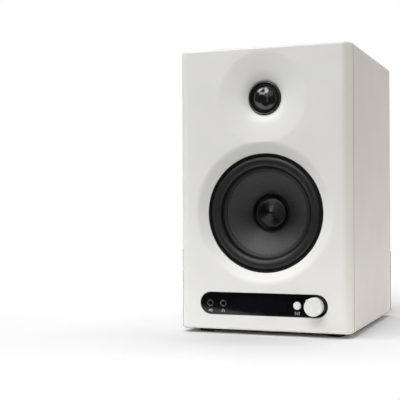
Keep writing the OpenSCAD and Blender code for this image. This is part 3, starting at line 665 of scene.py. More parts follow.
def build_baffle():
    R1, R2 = 10.0, 2.5
    ys = sorted({round(R1 * (1 - math.cos(math.radians(a))), 4) for a in range(0, 91, 6)} | {round(R2 * (1 - math.cos(math.radians(a))), 4) for a in range(0, 91, 15)})
    loops = []
    for y in ys:
        ix, iz = arc_inset(y, R1), arc_inset(y, R2)
        loops.append(y_loop(0, CAB_H / 2, CAB_W - 2 * ix, CAB_H - 2 * iz, max(0.5, R2 - iz), y, 6))
    for y, i, r in ((10.1, 0, 2.5), (10.22, 0.05, 2.45), (10.3, 0.2, 2.3), (10.32, 0.9, 2), (11.0, 0.9, 2)):
        loops.append(y_loop(0, CAB_H / 2, CAB_W - 2 * i, CAB_H - 2 * i, r, y, 6))
    pw, ph = size("rear_panel")[0], size("rear_panel")[2]
    loops.append(y_loop(0, CAB_H / 2, pw, ph, 0.3, 11.0, 6))
    loops.append(y_loop(0, CAB_H / 2, pw, ph, 0.3, span_y("front_baffle")[1], 6))
    o = bare(add_loft(bmesh.new(), loops), "front_baffle_visual")
    cut = []
    # waveguide
    bowl = smooth_curve([(45.6, 0.02), (44, 0.16), (42, 0.42), (40, 0.76), (36, 1.42), (32, 2.1), (28, 2.85), (26, 3.3), (24, 3.9), (22, 4.75), (20, 5.8), (18.2, 6.95), (16.75, 8.2)], 3)
    cut.append(add_lathe(bmesh.new(), [(0, -3), (50, -3), (50, -0.06), (47.6, -0.015)] + bowl + [(16.75, 10.0), (30, 10.0), (30, 30), (0, 30)], TX, TZ, 192))
    # woofer bevel: flat face, rounded corner, straight slope, crisp lip
    sl = math.atan2(4.5, 7.2)
    rc, t = 10.0, 10.0 * math.tan(sl / 2)
    r0 = 68.75
    arc = []
    for k in range(0, 9):
        a = sl * k / 8
        arc.append((r0 + t - rc * math.sin(a), rc * (1 - math.cos(a))))
    arc[0] = (r0 + t + 0.6, -0.02)
    bevel = arc + [(59.25, 5.95), (58.9, 6.22), (58.8, 6.5)]
    cut.append(add_lathe(bmesh.new(), [(0, -3), (76, -3), (76, -0.08)] + bevel + [(58.8, 9), (66.6, 9), (66.6, 30), (0, 30)], WX, WZ, 192))
    # recess of the control strip
    L, H = size("control_fascia")[0] + 0.4, size("control_fascia")[2] + 0.4
    cut.append(add_loft(bmesh.new(), [y_loop(PX, PZ, L + 1.6, H + 1.6, H, -1, 16), y_loop(PX, PZ, L + 0.7, H + 0.7, H, -0.05, 16), y_loop(PX, PZ, L + 0.12, H + 0.12, H, 0.16, 16), y_loop(PX, PZ, L, H, H, 0.4, 16), y_loop(PX, PZ, L, H, H, 2.3, 16)]))
    cut.append(add_loft(bmesh.new(), [y_loop(PX, PZ, L - 4, H - 4, H, 1.5, 16), y_loop(PX, PZ, L - 4, H - 4, H, 30, 16)]))
    cut.append(add_loft(bmesh.new(), [y_loop(0, PZ, 138, 22, 0.5, 9, 2), y_loop(0, PZ, 138, 22, 0.5, 30, 2)]))
    for c in cut:
        boolean(o, [bare(c)])
    # screw holes in the back
    holes = bmesh.new()
    for cx, cz, r, angles, y in ((WX, WZ, 62.4, (45, 135, 225, 315), 5.4), (TX, TZ, 25.2, (30, 150, 270), 6.8)):
        for a in angles:
            add_lathe(holes, [(0, y), (1.5, y), (1.5, 14), (0, 14)], cx + r * math.cos(math.radians(a)), cz - r * math.sin(math.radians(a)) if cz == TZ else cz + r * math.sin(math.radians(a)), 16)
    for sx in (-1, 1):
        for k in (-1, 1):
            add_lathe(holes, [(0, 4.6), (1.5, 4.6), (1.5, 14), (0, 14)], sx * 65.5, PZ + k * 6.5, 16)
    boolean(o, [bare(holes)])
    return dress(o, "cabinet", ["front_baffle"], WHITE.m, 34, True)


def build_shell():
    w, h, d0, d1 = CAB_W, CAB_H, span_y("cabinet_shell")[0], CAB_D
    iw, ih = size("rear_panel")[0] + 0.2, size("rear_panel")[2] + 0.2
    loops = []
    for k in range(4):
        a = math.radians(90 * k / 3)
        i = 0.25 * (1 - math.sin(a))
        loops.append(y_loop(0, h / 2, w - 2 * i, h - 2 * i, 2.5 - i, d0 + 0.1 + 0.25 * (1 - math.cos(a)), 8))
    for k in range(8):  # spread the long faces so that the shading stays even
        loops.append(y_loop(0, h / 2, w, h, 2.5, d0 + (d1 - d0) * (k + 1) / 9, 8))
    for k in range(7):
        a = math.radians(90 * k / 6)
        i = 1.6 * (1 - math.cos(a))
        loops.append(y_loop(0, h / 2, w - 2 * i, h - 2 * i, 2.5 - i * 0.6, d1 - 1.6 * (1 - math.sin(a)), 8))
    for k in range(4):
        a = math.radians(90 * k / 3)
        i = 0.5 * (1 - math.sin(a))
        loops.append(y_loop(0, h / 2, iw + 2 * i, ih + 2 * i, 0.3 + i, d1 - 0.5 * (1 - math.cos(a)), 8))
    loops.append(y_loop(0, h / 2, iw, ih, 0.3, d0 + 0.1, 8))
    o = finish_mesh("cabinet_shell_visual", add_loft(bmesh.new(), loops, True), "cabinet", ["cabinet_shell"], WHITE_SIDE_WARM_LIT.m, 34, True)
    # the joint with the baffle: its front-edge faces take a darker colour, painted shade standing in for the shadow in
    # the gap
    o.data.materials.append(SEAM_SHADE.m)
    edge = Y0 + (d0 + 0.32) * MM
    for f in o.data.polygons:
        if f.center.y < edge:
            f.material_index = 1
    return o


def build_rear_panel():
    w, _, h = size("rear_panel")
    y0, y1 = span_y("rear_panel")
    _, _, cz = mid("rear_panel")
    o = bare(add_loft(bmesh.new(), soft_slab_loops(0, cz, w, h, 0.6, y0, y1, 0.2, 0.25, 4)), "rear_panel_visual")
    boolean(o, [bare(add_loft(bmesh.new(), [y_loop(AX, AZ, 104, 90, 3, y0 - 1, 4), y_loop(AX, AZ, 104, 90, 3, y1 + 1, 4)]))])
    boolean(o, [bare(add_lathe(bmesh.new(), [(0, y0 - 1), (24.6, y0 - 1), (24.6, y1 + 1), (0, y1 + 1)], PORT_X, PORT_Z, 96))])
    holes = bmesh.new()
    for x in (-58.5, 0, 58.5):
        for z in (-51.5, 0, 51.5):
            if x or z:
                add_lathe(holes, [(0, y1 - 10), (1.5, y1 - 10), (1.5, y1 + 1), (0, y1 + 1)], AX + x, AZ + z, 16)
    for a in (45, 135, 225, 315):
        add_lathe(holes, [(0, y1 - 10), (1.5, y1 - 10), (1.5, y1 + 1), (0, y1 + 1)], PORT_X + 30.5 * math.cos(math.radians(a)), PORT_Z + 30.5 * math.sin(math.radians(a)), 16)
    boolean(o, [bare(holes)])
    return dress(o, "cabinet", ["rear_panel"], WHITE_SIDE_WARM_LIT.m, 34, True)


def build_feet():
    """Moulded rubber feet: domed rim, a shallow ring groove, a countersunk middle."""
    lo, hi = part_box("feet")
    xs = (lo.x / MM + 9, hi.x / MM - 9)
    ys = ((lo.y - Y0) / MM + 9, (hi.y - Y0) / MM - 9)
    h = (hi.z - lo.z) / MM
    prof = fillet([(0, h), (9, h), (8.7, 1.4), (7.8, 0), (6.2, 0), (5.9, 0.5), (5.3, 0.5), (5.0, 0), (3.4, 0), (3.0, 1.6), (0, 1.6)], [0, 0.25, 0.5, 0.6, 0.3, 0.15, 0.15, 0.3, 0.4, 0.2, 0], 4)
    bm = bmesh.new()
    seg = 64
    for x in xs:
        for y in ys:
            rings = []
            for r, z in prof:
                c = Vector((x * MM, Y0 + y * MM, lo.z + z * MM))
                rings.append([bm.verts.new(c)] if r < 1e-4 else [bm.verts.new(c + Vector((r * MM * math.cos(2 * math.pi * k / seg), r * MM * math.sin(2 * math.pi * k / seg), 0))) for k in range(seg)])
            for i in range(len(rings)):
                a, b = rings[i], rings[(i + 1) % len(rings)]
                if len(a) == 1 and len(b) == 1:
                    continue
                for k in range(seg):
                    j = (k + 1) % seg
                    bm.faces.new([v for v in ((a[0], b[k], b[j]) if len(a) == 1 else (a[k], b[0], a[j]) if len(b) == 1 else (a[k], b[k], b[j], a[j]))])
    return finish_mesh("feet_visual", bm, "cabinet", ["feet"], RUBBER.m)


def build_foam():
    """Egg-crate absorber, cut in three blocks that fit against the side walls."""
    made = []
    inner = CAB_W / 2 - 12
    for n, (side, y0, y1, z0, z1) in enumerate(((1, 30, 190, 20, 168), (1, 40, 190, 188, 262), (-1, 40, 190, 188, 262))):
        bm = bmesh.new()
        ny, nz = int((y1 - y0) / 2.5), int((z1 - z0) / 2.5)
        front, back = [], []
        for j in range(nz + 1):
            fr, bk = [], []
            for i in range(ny + 1):
                y, z = y0 + (y1 - y0) * i / ny, z0 + (z1 - z0) * j / nz
                edge = min(1.0, min(y - y0, y1 - y, z - z0, z1 - z) / 3.0)
                wave = 0.5 + 0.5 * math.sin(2 * math.pi * y / 25) * math.sin(2 * math.pi * z / 25)
                t = 6.5 + 7.6 * wave * (0.35 + 0.65 * edge) + 0.25 * math.sin(y * 1.7 + z * 2.3)
                fr.append(bm.verts.new(P(side * (inner - 0.2 - t), y, z)))
                bk.append(bm.verts.new(P(side * (inner - 0.2), y, z)))
            front.append(fr)
            back.append(bk)
        for j in range(nz):
            for i in range(ny):
                bm.faces.new((front[j][i], front[j][i + 1], front[j + 1][i + 1], front[j + 1][i]))
                bm.faces.new((back[j][i], back[j + 1][i], back[j + 1][i + 1], back[j][i + 1]))
        rim = [(0, i) for i in range(ny)] + [(j, ny) for j in range(nz)] + [(nz, i) for i in range(ny, 0, -1)] + [(j, 0) for j in range(nz, 0, -1)]
        for a in range(len(rim)):
            (j0, i0), (j1, i1) = rim[a], rim[(a + 1) % len(rim)]
            bm.faces.new((front[j0][i0], back[j0][i0], back[j1][i1], front[j1][i1]))
        o = finish_mesh(f"damping_foam_{n + 1}", bm, "cabinet", ["damping_foam"], FOAM.m, 60)
        made.append(o)
    return made


def screw_into(bm, cx, cz, y, head_r=2.7, head_h=1.8, shank=8.0, sign=1, r=1.45):
    """One pan-head screw, head rising from depth y. sign 1 puts the head behind y."""
    top = y + sign * head_h
    prof = [(0, y - sign * shank), (r - 0.5, y - sign * shank), (r, y - sign * (shank - 1.0)), (r, y), (head_r, y), (head_r, y + sign * 0.5 * head_h), (head_r * 0.82, y + sign * 0.86 * head_h), (head_r * 0.5, top), (0, top)]
    add_lathe(bm, fillet(prof, [0, 0.1, 0.2, 0, 0.1, 0.6, 0.6, 0.5, 0], 3), cx, cz, 32)


def cross_cut(cutter, cx, cz, y, sign=1, s=1.5, w=0.34):
    for a in (0, 90):
        c, q = math.cos(math.radians(a)), math.sin(math.radians(a))
        dx, dz = s * c + w * q, s * q + w * c
        add_box(cutter, P(cx - dx, min(y, y + sign * 3), cz - dz), P(cx + dx, max(y, y + sign * 3), cz + dz))


def build_port():
    y0, y1 = span_y("port_tube")
    ri = 21.0
    flare = [(ri, y1 - 16), (ri + 0.15, y1 - 11), (ri + 0.7, y1 - 7.5), (ri + 1.8, y1 - 4.5), (ri + 3.6, y1 - 2.0), (ri + 5.8, y1 - 0.55), (ri + 8.0, y1)]
    flare = smooth_curve(flare, 4)
    inner_flare = smooth_curve([(ri + 2.1, y0), (ri + 1.2, y0 + 0.4), (ri + 0.4, y0 + 1.6), (ri, y0 + 4)], 4)
    prof = [(ri + 2.5, y0 + 0.4), (ri + 2.1, y0)] + inner_flare[1:] + flare + [(33.2, y1), (34, y1 - 0.8), (34, REAR), (ri + 2.5, REAR)]
    o = bare(add_lathe(bmesh.new(), prof, PORT_X, PORT_Z, 160), "port_tube_visual")
    holes = bmesh.new()
    for a in (45, 135, 225, 315):
        add_lathe(holes, [(0, REAR - 1), (1.7, REAR - 1), (1.7, y1 + 1), (0, y1 + 1)], PORT_X + 30.5 * math.cos(math.radians(a)), PORT_Z + 30.5 * math.sin(math.radians(a)), 24)
    boolean(o, [bare(holes)])
    return dress(o, "cabinet", ["port_tube"], BLACK_PLASTIC.m, 30, True)


# ------------------------------------------------------------------ woofer
def build_woofer():
    made = {}
    # trim ring with a stepped inner lip
    g = fillet([(58.6, 9), (58.6, 6.6), (58.25, 6.25), (57.55, 6.25), (57.35, 6.7), (57.05, 6.75), (56.85, 7.4), (56.75, 9)], [0, 0.2, 0.15, 0.2, 0.1, 0.12, 0.2, 0], 3)
    made["gasket"] = lathe("woofer_gasket_visual", g, WX, WZ, "cabinet", ["woofer_gasket"], GASKET_AND_SHADE.m, 192, 25)
    # half-roll surround
    def roll(t, n=40):
        out = []
        for i in range(n + 1):
            a, m = math.pi * i / n, i / n
            out.append((50.4 + (5.3 - t) * math.cos(a), 8.3 + t + 2.3 * m - (4.0 - 0.15 * t) * math.sin(a) ** 0.94 * (1 - 0.05 * m)))
        return out
    front = [(56.5, 8.3)] + roll(0) + smooth_curve([(44.75, 11.05), (44.45, 11.45), (43.9, 11.6), (42.6, 12.05), (41.7, 12.38), (41.25, 12.68), (41.05, 13.0), (41.0, 13.35)], 3)
    back = [(41.3, 13.42), (42.6, 12.8), (44.2, 12.1), (45.0, 11.75)] + roll(0.7)[::-1] + [(56.5, 9.0)]
    o = lathe("woofer_surround_visual", front + back, WX, WZ, None, (), ROLL.m, 192, 50)
    # the fold where the roll meets the cone takes the near-black gasket colour: painted shade in the groove
    o.data.materials.append(GASKET_AND_SHADE.m)
    for f in o.data.polygons:
        if 43.7 < math.hypot(f.center.x / MM - WX, (f.center.z - Z0) / MM - WZ) < 46.3:
            f.material_index = 1
    radial_blend(o, lambda x, y, z: 1 - ramp(math.hypot(x - WX, z - WZ), 45.0, 55.8))
    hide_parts("woofer_surround")
    made["surround"] = o
    # curved cone
    c = smooth_curve([(44.2, 12.2), (41, 13.5), (37, 15.7), (32, 18.75), (27, 22.2), (22, 26.1), (19.9, 28.05), (18.9, 29.5), (18.4, 31.4), (18.22, 34.5)], 5)
    c += [(18.0, 35.8), (17.5, 36.2), (13.4, 36.2)]
    b = [(13.4, 37.0), (18.4, 37.0), (18.9, 36.4), (19.2, 31.5), (19.6, 29.9), (20.5, 28.6), (22.4, 26.8), (27.3, 22.95), (32.3, 19.45), (37.2, 16.45), (41.2, 14.2), (44.2, 12.9)]
    made["cone"] = lathe("woofer_cone_visual", c + b, WX, WZ, "woofer_moving_parts", ["woofer_cone"], CONE.m, 192, 40)
    # dust cap: a low cone with a rolled rim
    f = [(0, 26.55), (0.8, 26.68), (1.8, 27.0)] + smooth_curve([(3, 27.4), (7, 28.55), (11, 29.55), (13.6, 30.25), (14.55, 30.7), (15.0, 31.35), (15.15, 32.2)], 4) + [(15.2, 36.15)]
    k = [(14.7, 36.15), (14.6, 31.7), (14.2, 31.2), (13.4, 30.8), (7, 29.1), (2, 27.5), (0, 27.05)]
    made["cap"] = lathe("woofer_dust_cap_visual", f + k, WX, WZ, "woofer_moving_parts", ["woofer_dust_cap"], CAP.m, 128, 40)
    # corrugated spider
    def wave(r):
        return 39.8 if r > 37 else 39.8 + 1.4 * math.sin(2 * math.pi * (r - 15) / 5.5) * min(1, (r - 13.35) / 2)
    rs = [13.35 + 30.9 * i / 90 for i in range(91)]
    o = lathe("woofer_spider_visual", [(r, wave(r)) for r in rs] + [(r, wave(r) + 0.45) for r in rs[::-1]], WX, WZ, None, (), SPIDER.m, 128, 60)
    radial_blend(o, lambda x, y, z: 1 - ramp(math.hypot(x - WX, z - WZ), 14.0, 37.0))
    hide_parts("woofer_spider")
    # tinsel leads keep their CAD shape
    o = bpy.data.objects.new("tinsel_leads_visual", N["tinsel_leads"].data.copy())
    S.collection.objects.link(o)
    dress(o, None, (), COPPER.m, 50)
    lo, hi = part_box("tinsel_leads")
    radial_blend(o, lambda x, y, z: ramp(x, lo.x / MM + 2, hi.x / MM - 2))
    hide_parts("tinsel_leads")
    return made


# ------------------------------------------------------------------ tweeter
def build_tweeter():
    ring = [(16.5, 8.6), (16.5, 7.1), (16.25, 6.75), (15.75, 6.42), (15.2, 6.75), (15.1, 7.1), (15.05, 8.1), (14.75, 8.1), (14.7, 7.6), (14.6, 7.25), (14.3, 7.25), (14.18, 7.8), (14.12, 10.6), (17.6, 10.6), (17.6, 12.5), (29.5, 12.5), (29.5, 10.0), (16.5, 10.0)]
    o = lathe("tweeter_face_ring_visual", fillet(ring, [0.1, 0.2, 0.25, 0.25, 0.15, 0.2, 0.1, 0.1, 0.15, 0.2, 0.2, 0.3, 0, 0, 0, 0.2, 0.2, 0], 3), TX, TZ, "cabinet", ["tweeter_face_ring"], RING.m, 128, 28)
    # faces deep in the grooves, inside the inner ridge and outside the outer ridge take the near-black gasket colour:
    # painted shade round the two ridges
    o.data.materials.append(GASKET_AND_SHADE.m)
    for f in o.data.polygons:
        r = math.hypot(f.center.x / MM - TX, (f.center.z - Z0) / MM - TZ)
        if (f.center.y - Y0) / MM > 7.2 or r < 14.25 or r > 16.3:
            f.material_index = 1
    h = 5.8
    R = (12.65**2 + h * h) / (2 * h)
    out = [(12.65 * i / 30, 8 - h + R - math.sqrt(R * R - (12.65 * i / 30) ** 2)) for i in range(31)]
    inn = [(12.3 * i / 30, 8 - h + R - math.sqrt((R - 0.35) ** 2 - (12.3 * i / 30) ** 2)) for i in range(30, -1, -1)]
    lathe("tweeter_dome_visual", out + inn, TX, TZ, "tweeter_moving_parts", ["tweeter_dome"], DOME.m, 128, 50)
    s = smooth_curve([(12.75, 8.0), (13.0, 7.68), (13.35, 7.72), (13.62, 8.15), (13.8, 9.0), (13.98, 10.0), (14.4, 10.6)], 4) + [(17.4, 10.6), (17.4, 11.0), (14.1, 11.0)] + smooth_curve([(13.75, 10.4), (13.55, 9.2), (13.4, 8.4), (13.2, 8.1), (12.98, 8.15), (12.8, 8.45)], 4)
    o = lathe("tweeter_surround_visual", s, TX, TZ, None, (), ROLL.m, 128, 50)
    radial_blend(o, lambda x, y, z: 1 - ramp(math.hypot(x - TX, z - TZ), 13.0, 14.0))
    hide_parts("tweeter_surround")


# ------------------------------------------------------------------ front controls
def stroke(bm, points, width, y0, y1, closed=False):
    """Adds a flat line of the given width through (x, z) points, between two depths."""
    left, right = [], []
    m = len(points)
    for i, p in enumerate(points):
        a = points[i - 1] if i > 0 or closed else p
        c = points[(i + 1) % m] if i < m - 1 or closed else p
        d = Vector((c[0] - a[0], c[1] - a[1])).normalized()
        nx, nz = -d.y * width / 2, d.x * width / 2
        left.append((p[0] + nx, p[1] + nz))
        right.append((p[0] - nx, p[1] - nz))
    for i in range(m if closed else m - 1):
        j = (i + 1) % m
        quad = [left[i], left[j], right[j], right[i]]
        f = [bm.verts.new(P(x, y0, z)) for x, z in quad]
        b = [bm.verts.new(P(x, y1, z)) for x, z in quad]
        bm.faces.new(f)
        bm.faces.new(b[::-1])
        for k in range(4):
            n = (k + 1) % 4
            bm.faces.new((f[k], b[k], b[n], f[n]))


def build_controls():
    y0, y1 = span_y("control_fascia")
    L, _, H = size("control_fascia")
    o = bare(add_loft(bmesh.new(), soft_slab_loops(PX, PZ, L, H, H, y0, y1, 0.25, 0.1, 20, 4)), "control_fascia_visual")
    holes = bmesh.new()
    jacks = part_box("audio_jacks")
    jx = (jacks[0].x / MM + 4.6, jacks[1].x / MM - 4.6)
    for x, r in ((jx[0], 3.45), (jx[1], 3.45), (BX, size("eq_button")[0] / 2 - 1.1 + 0.22), (KX, 3.7)):
        add_lathe(holes, [(0, -2), (r + 0.6, -2), (r + 0.12, y0 + 0.02), (r, y0 + 0.14), (r, 5), (0, 5)], x, PZ, 64)
    boolean(o, [bare(holes)])
    dress(o, "cabinet", ["control_fascia"], FASCIA.m, 28, True)
    # jacks: ring, throat, stepped socket and body
    bm = bmesh.new()
    for x in jx:
        ring = [(3.35, 4), (3.35, 0.25), (3.2, 0.05), (2.75, 0.05), (2.35, 0.5), (1.85, 1.6), (1.8, 15.5), (0, 15.5), (0, 17), (4, 17), (4, 4)]
        add_lathe(bm, fillet(ring, [0, 0.12, 0.1, 0.12, 0.15, 0.2, 0, 0, 0, 0.3, 0.1], 3), x, PZ, 64)
    finish_mesh("audio_jacks_visual", bm, "cabinet", ["audio_jacks"], JACK.m, 30)
    # button
    b0, b1 = span_y("eq_button")
    br = size("eq_button")[0] / 2 - 1.1
    prof = smooth_curve([(0, b0), (1.8, b0 + 0.05), (br - 0.75, b0 + 0.16), (br - 0.25, b0 + 0.36), (br - 0.02, b0 + 0.8)], 4)
    prof += [(br, 2.5), (br + 1.1, 2.5), (br + 1.1, 3.3), (1.5, 3.3), (1.5, b1), (0, b1)]
    lathe("tone_button_visual", prof, BX, BZ, "tone_button", ["eq_button"], WHITE_PLASTIC.m, 96, 35)
    # knob: dished face, soft rim, finely ribbed side, raised pointer, open back with its hub
    k0 = span_y("volume_knob")[0]
    seg = 240
    kr = 8.8
    bm = bmesh.new()
    prof = smooth_curve([(0, k0 + 0.3), (3, k0 + 0.27), (6, k0 + 0.15), (7.4, k0 + 0.05), (kr - 0.75, k0)], 4) + smooth_curve([(kr - 0.5, k0 + 0.04), (kr - 0.17, k0 + 0.22), (kr, k0 + 0.6)], 3)
    prof += [(kr, k0 + 1.1), (kr, -1.2), (kr, -0.7), (kr - 0.3, -0.35), (kr - 0.8, -0.3), (7.5, -0.3), (7.5, k0 + 2), (4.6, k0 + 2), (4.6, -0.3), (3.05, -0.3), (3.05, k0 + 0.9), (0, k0 + 0.9)]
    add_lathe(bm, prof, KX, KZ, seg)
    bm.verts.ensure_lookup_table()
    for v in bm.verts:
        x, y, z = v.co.x / MM - KX, (v.co.y - Y0) / MM, (v.co.z - Z0) / MM - KZ
        r = math.hypot(x, z)
        if r > kr - 0.05 and k0 + 1.0 < y < -1.0:
            k = round(math.degrees(math.atan2(z, x)) / (360 / seg))
            d = 0.05 if k % 4 < 2 else -0.03
            v.co += Vector((x / r * d * MM, 0, z / r * d * MM))
    o = finish_mesh("volume_knob_visual", bm, "volume_control", ["volume_knob"], WHITE_PLASTIC.m, 40)
    bm = bmesh.new()
    a = math.radians(135)
    c, s = math.cos(a), math.sin(a)
    # pointer: a small raised bar on the rim
    lo_r, hi_r, hw = 8.0, 9.35, 0.5
    made = bmesh.ops.create_cube(bm, size=1.0)["verts"]
    for v in made:
        rr = (lo_r + hi_r) / 2 + v.co.x * (hi_r - lo_r)
        tt = v.co.z * 2 * hw
        yy = k0 + 0.15 + (v.co.y + 0.5) * 2.6
        v.co = P(KX + rr * c - tt * s, yy, KZ + rr * s + tt * c)
    bmesh.ops.bevel(bm, geom=list(bm.edges), offset=0.28 * MM, segments=3, profile=0.5, affect="EDGES")
    p = finish_mesh("volume_pointer", bm, "volume_control", (), WHITE_PLASTIC.m, 40)
    # symbols, printed on the strip
    bm = bmesh.new()
    t0, t1 = y0 - 0.03, y0 + 0.1
    zz = PZ - 7.2
    x = jx[1]
    arch = [(x + 1.25 * math.cos(math.radians(q)), zz - 0.1 + 1.3 * math.sin(math.radians(q))) for q in range(0, 181, 15)]
    stroke(bm, arch, 0.34, t0, t1)
    for sx in (-1, 1):
        stroke(bm, [(x + sx * 1.2, zz + 0.1), (x + sx * 1.2, zz - 1.15)], 0.6, t0, t1)
    x = jx[0]
    stroke(bm, [(x - 2.0, zz), (x + 0.3, zz)], 0.4, t0, t1)
    stroke(bm, [(x - 0.6, zz + 0.9), (x + 0.35, zz), (x - 0.6, zz - 0.9)], 0.4, t0, t1)
    ring = [(x + 0.9 + 1.15 * math.cos(math.radians(q)), zz + 1.15 * math.sin(math.radians(q))) for q in range(-120, 121, 15)]
    stroke(bm, ring, 0.38, t0, t1)
    x = BX
    for dx, kz in ((-1.95, 0.9), (0, -0.5), (1.95, 0.5)):
        stroke(bm, [(x + dx, zz + 1.6), (x + dx, zz - 1.9)], 0.28, t0, t1)
        stroke(bm, [(x + dx - 0.5, zz + kz), (x + dx + 0.5, zz + kz)], 0.5, t0, t1)
    finish_mesh("control_symbols", bm, "cabinet", (), MARK.m, 30)


# ------------------------------------------------------------------ rear
def build_rear():
    y0, y1 = REAR, CAB_D
    w, h = size("amp_plate")[0], size("amp_plate")[2]
    xs = {}
    rca = sorted((45, 27, 2))
    posts = (-28, -47)
    row_z = mid("red_post_cap")[2]
    inlet = mid("mains_inlet")
    sw = mid("switch_frame")
    o = bare(add_loft(bmesh.new(), soft_slab_loops(AX, AZ, w, h, 6, y0, y1, 0.1, 0.5, 8, 4)), "amp_plate_visual")
    studs = bmesh.new()
    for x, z in ((-40, 67), (40, 67), (-13, 113), (14.5, 113)):
        add_lathe(studs, [(0, 180), (2.7, 180), (3, 180.3), (3, y0 + 0.5), (0, y0 + 0.5)], x, z, 6)
    boolean(o, [bare(studs)], "UNION")
    holes = bmesh.new()
    for x in (-58.5, 0, 58.5):
        for z in (-51.5, 0, 51.5):
            if x or z:
                add_lathe(holes, [(0, y0 - 1), (1.7, y0 - 1), (1.7, y1 + 1), (0, y1 + 1)], AX + x, AZ + z, 24)
    for x in rca:
        add_lathe(holes, [(0, y0 - 1), (4.6, y0 - 1), (4.6, y1 + 1), (0, y1 + 1)], x, row_z, 48)
    for x in posts:
        add_lathe(holes, [(0, y0 - 1), (4.2, y0 - 1), (4.2, y1 + 1), (0, y1 + 1)], x, row_z, 48)
    boolean(o, [bare(holes)])
    for c, ww, hh in ((inlet, 25, 16), (sw, 20, 13)):
        boolean(o, [bare(add_loft(bmesh.new(), [y_loop(c[0], c[2], ww, hh, 0.5, y0 - 1, 3), y_loop(c[0], c[2], ww, hh, 0.5, y1 + 1, 3)]))])
    dress(o, "cabinet", ["amp_plate"], PLATE.m, 30, True)
    # plate screws
    bm, cut = bmesh.new(), bmesh.new()
    for x in (-58.5, 0, 58.5):
        for z in (-51.5, 0, 51.5):
            if x or z:
                screw_into(bm, AX + x, AZ + z, y1, shank=9)
                cross_cut(cut, AX + x, AZ + z, y1 + 0.9)
    o = bare(bm, "amp_plate_screws_visual")
    boolean(o, [bare(cut)])
    dress(o, "cabinet", ["amp_plate_screws"], BLACK_SCREW.m, 35, True)
    # printed outlines that group the sockets
    bm = bmesh.new()
    t0, t1 = y1 - 0.1, y1 + 0.04
    def frame_line(cx, cz, ww, hh, r):
        stroke(bm, [(cx + a, cz + b) for a, b in rrect(ww, hh, r, 6)], 0.5, t0, t1, True)
    frame_line((27 + 45) / 2, row_z, 36, 20, 3)
    frame_line(2, row_z, 17, 20, 3)
    frame_line(sum(posts) / 2, row_z, 38, 21, 3)
    frame_line(inlet[0], inlet[2], 36, 27, 3)
    frame_line(sw[0], sw[2], 29, 22, 3)
    finish_mesh("rear_outlines", bm, "cabinet", (), MARK.m, 30)
    # heat sink: base, tapered fins, clamping block inside
    bm = bmesh.new()
    lo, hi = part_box("heat_sink")
    z0, z1 = 60, 92
    add_box(bm, P(-46, y1, z0), P(46, y1 + 3, z1), 0.3 * MM)
    for i in range(9):
        x = -46 + i * 11.25
        lower, upper = 1.0, 0.72
        loops = []
        for yy, hw, ins in ((y1 + 2.5, lower, 0), (y1 + 11.2, upper, 0), (y1 + 11.7, upper * 0.8, 0.2), (y1 + 12, upper * 0.3, 0.5)):
            loops.append([P(x + 1 - hw, yy, z0 + ins), P(x + 1 + hw, yy, z0 + ins), P(x + 1 + hw, yy, z1 - ins), P(x + 1 - hw, yy, z1 - ins)])
        add_loft(bm, loops)
    add_box(bm, P(-26, 184, 84), P(26, y0, 98), 0.4 * MM)
    finish_mesh("heat_sink_visual", bm, "cabinet", ["heat_sink"], SINK.m, 30)
    # mains inlet
    cx, cz = inlet[0], inlet[2]
    o = bare(add_loft(bmesh.new(), soft_slab_loops(cx, cz, 30, 21, 2.5, y1, y1 + 2.5, 0.05, 0.5, 6, 4)), "mains_inlet_visual")
    boolean(o, [bare(add_loft(bmesh.new(), soft_slab_loops(cx, cz, 24.6, 15.6, 1, 196, y1 + 0.4, 0.4, 0.02, 4, 3)))], "UNION")
    pts = []
    for k in range(25):
        a = math.radians(-90 + 180 * k / 24)
        pts.append((4.1 + 4.3 * math.cos(a), 4.3 * math.sin(a)))
    for k in range(25):
        a = math.radians(90 + 180 * k / 24)
        pts.append((-4.1 + 4.3 * math.cos(a), 4.3 * math.sin(a)))
    def eight(grow, yy):
        return [P(cx + x * (1 + grow / 8.4), yy, cz + z * (1 + grow / 4.3)) for x, z in pts]
    boolean(o, [bare(add_loft(bmesh.new(), [eight(0, 201.5), eight(0, y1 + 2.0), eight(0.5, y1 + 2.52), eight(0.6, y1 + 4)]))])
    dress(o, "cabinet", (), SWITCH.m, 30, True)
    bm = bmesh.new()
    for s in (-1, 1):
        add_lathe(bm, fillet([(0, 200), (1.2, 200), (1.2, 212.5), (0, 212.5)], [0, 0.1, 0.9, 0], 5), cx + s * 4.3, cz, 32)
    pins = finish_mesh("mains_pins", bm, "cabinet", ["mains_inlet"], STEEL.m, 40)
    # switch frame and rocker
    cx, cz = sw[0], sw[2]
    o = bare(add_loft(bmesh.new(), soft_slab_loops(cx, cz, 23, 16, 1.5, y1, y1 + 1.8, 0.05, 0.5, 6, 4)), "switch_frame_visual")
    boolean(o, [bare(add_loft(bmesh.new(), soft_slab_loops(cx, cz, 19.6, 12.6, 0.8, 197, y1 + 0.4, 0.3, 0.02, 4, 3)))], "UNION")
    boolean(o, [bare(add_loft(bmesh.new(), [y_loop(cx, cz, 16.8, 10.4, 0.5, 204, 4), y_loop(cx, cz, 16.8, 10.4, 0.5, y1 + 1.5, 4), y_loop(cx, cz, 17.4, 11, 0.8, y1 + 2.2, 4)]))])
    pin = bmesh.new()
    for k in range(2):
        pass
    seg = 24
    a_ = [pin.verts.new(P(cx + 1.55 * math.cos(2 * math.pi * k / seg), 211 + 1.55 * math.sin(2 * math.pi * k / seg), cz - 6.2)) for k in range(seg)]
    b_ = [pin.verts.new(P(cx + 1.55 * math.cos(2 * math.pi * k / seg), 211 + 1.55 * math.sin(2 * math.pi * k / seg), cz + 6.2)) for k in range(seg)]
    pin.faces.new(a_)
    pin.faces.new(b_[::-1])
    for k in range(seg):
        pin.faces.new((a_[k], a_[(k + 1) % seg], b_[(k + 1) % seg], b_[k]))
    boolean(o, [bare(pin)])
    dress(o, "cabinet", ["switch_frame"], SWITCH.m, 30, True)
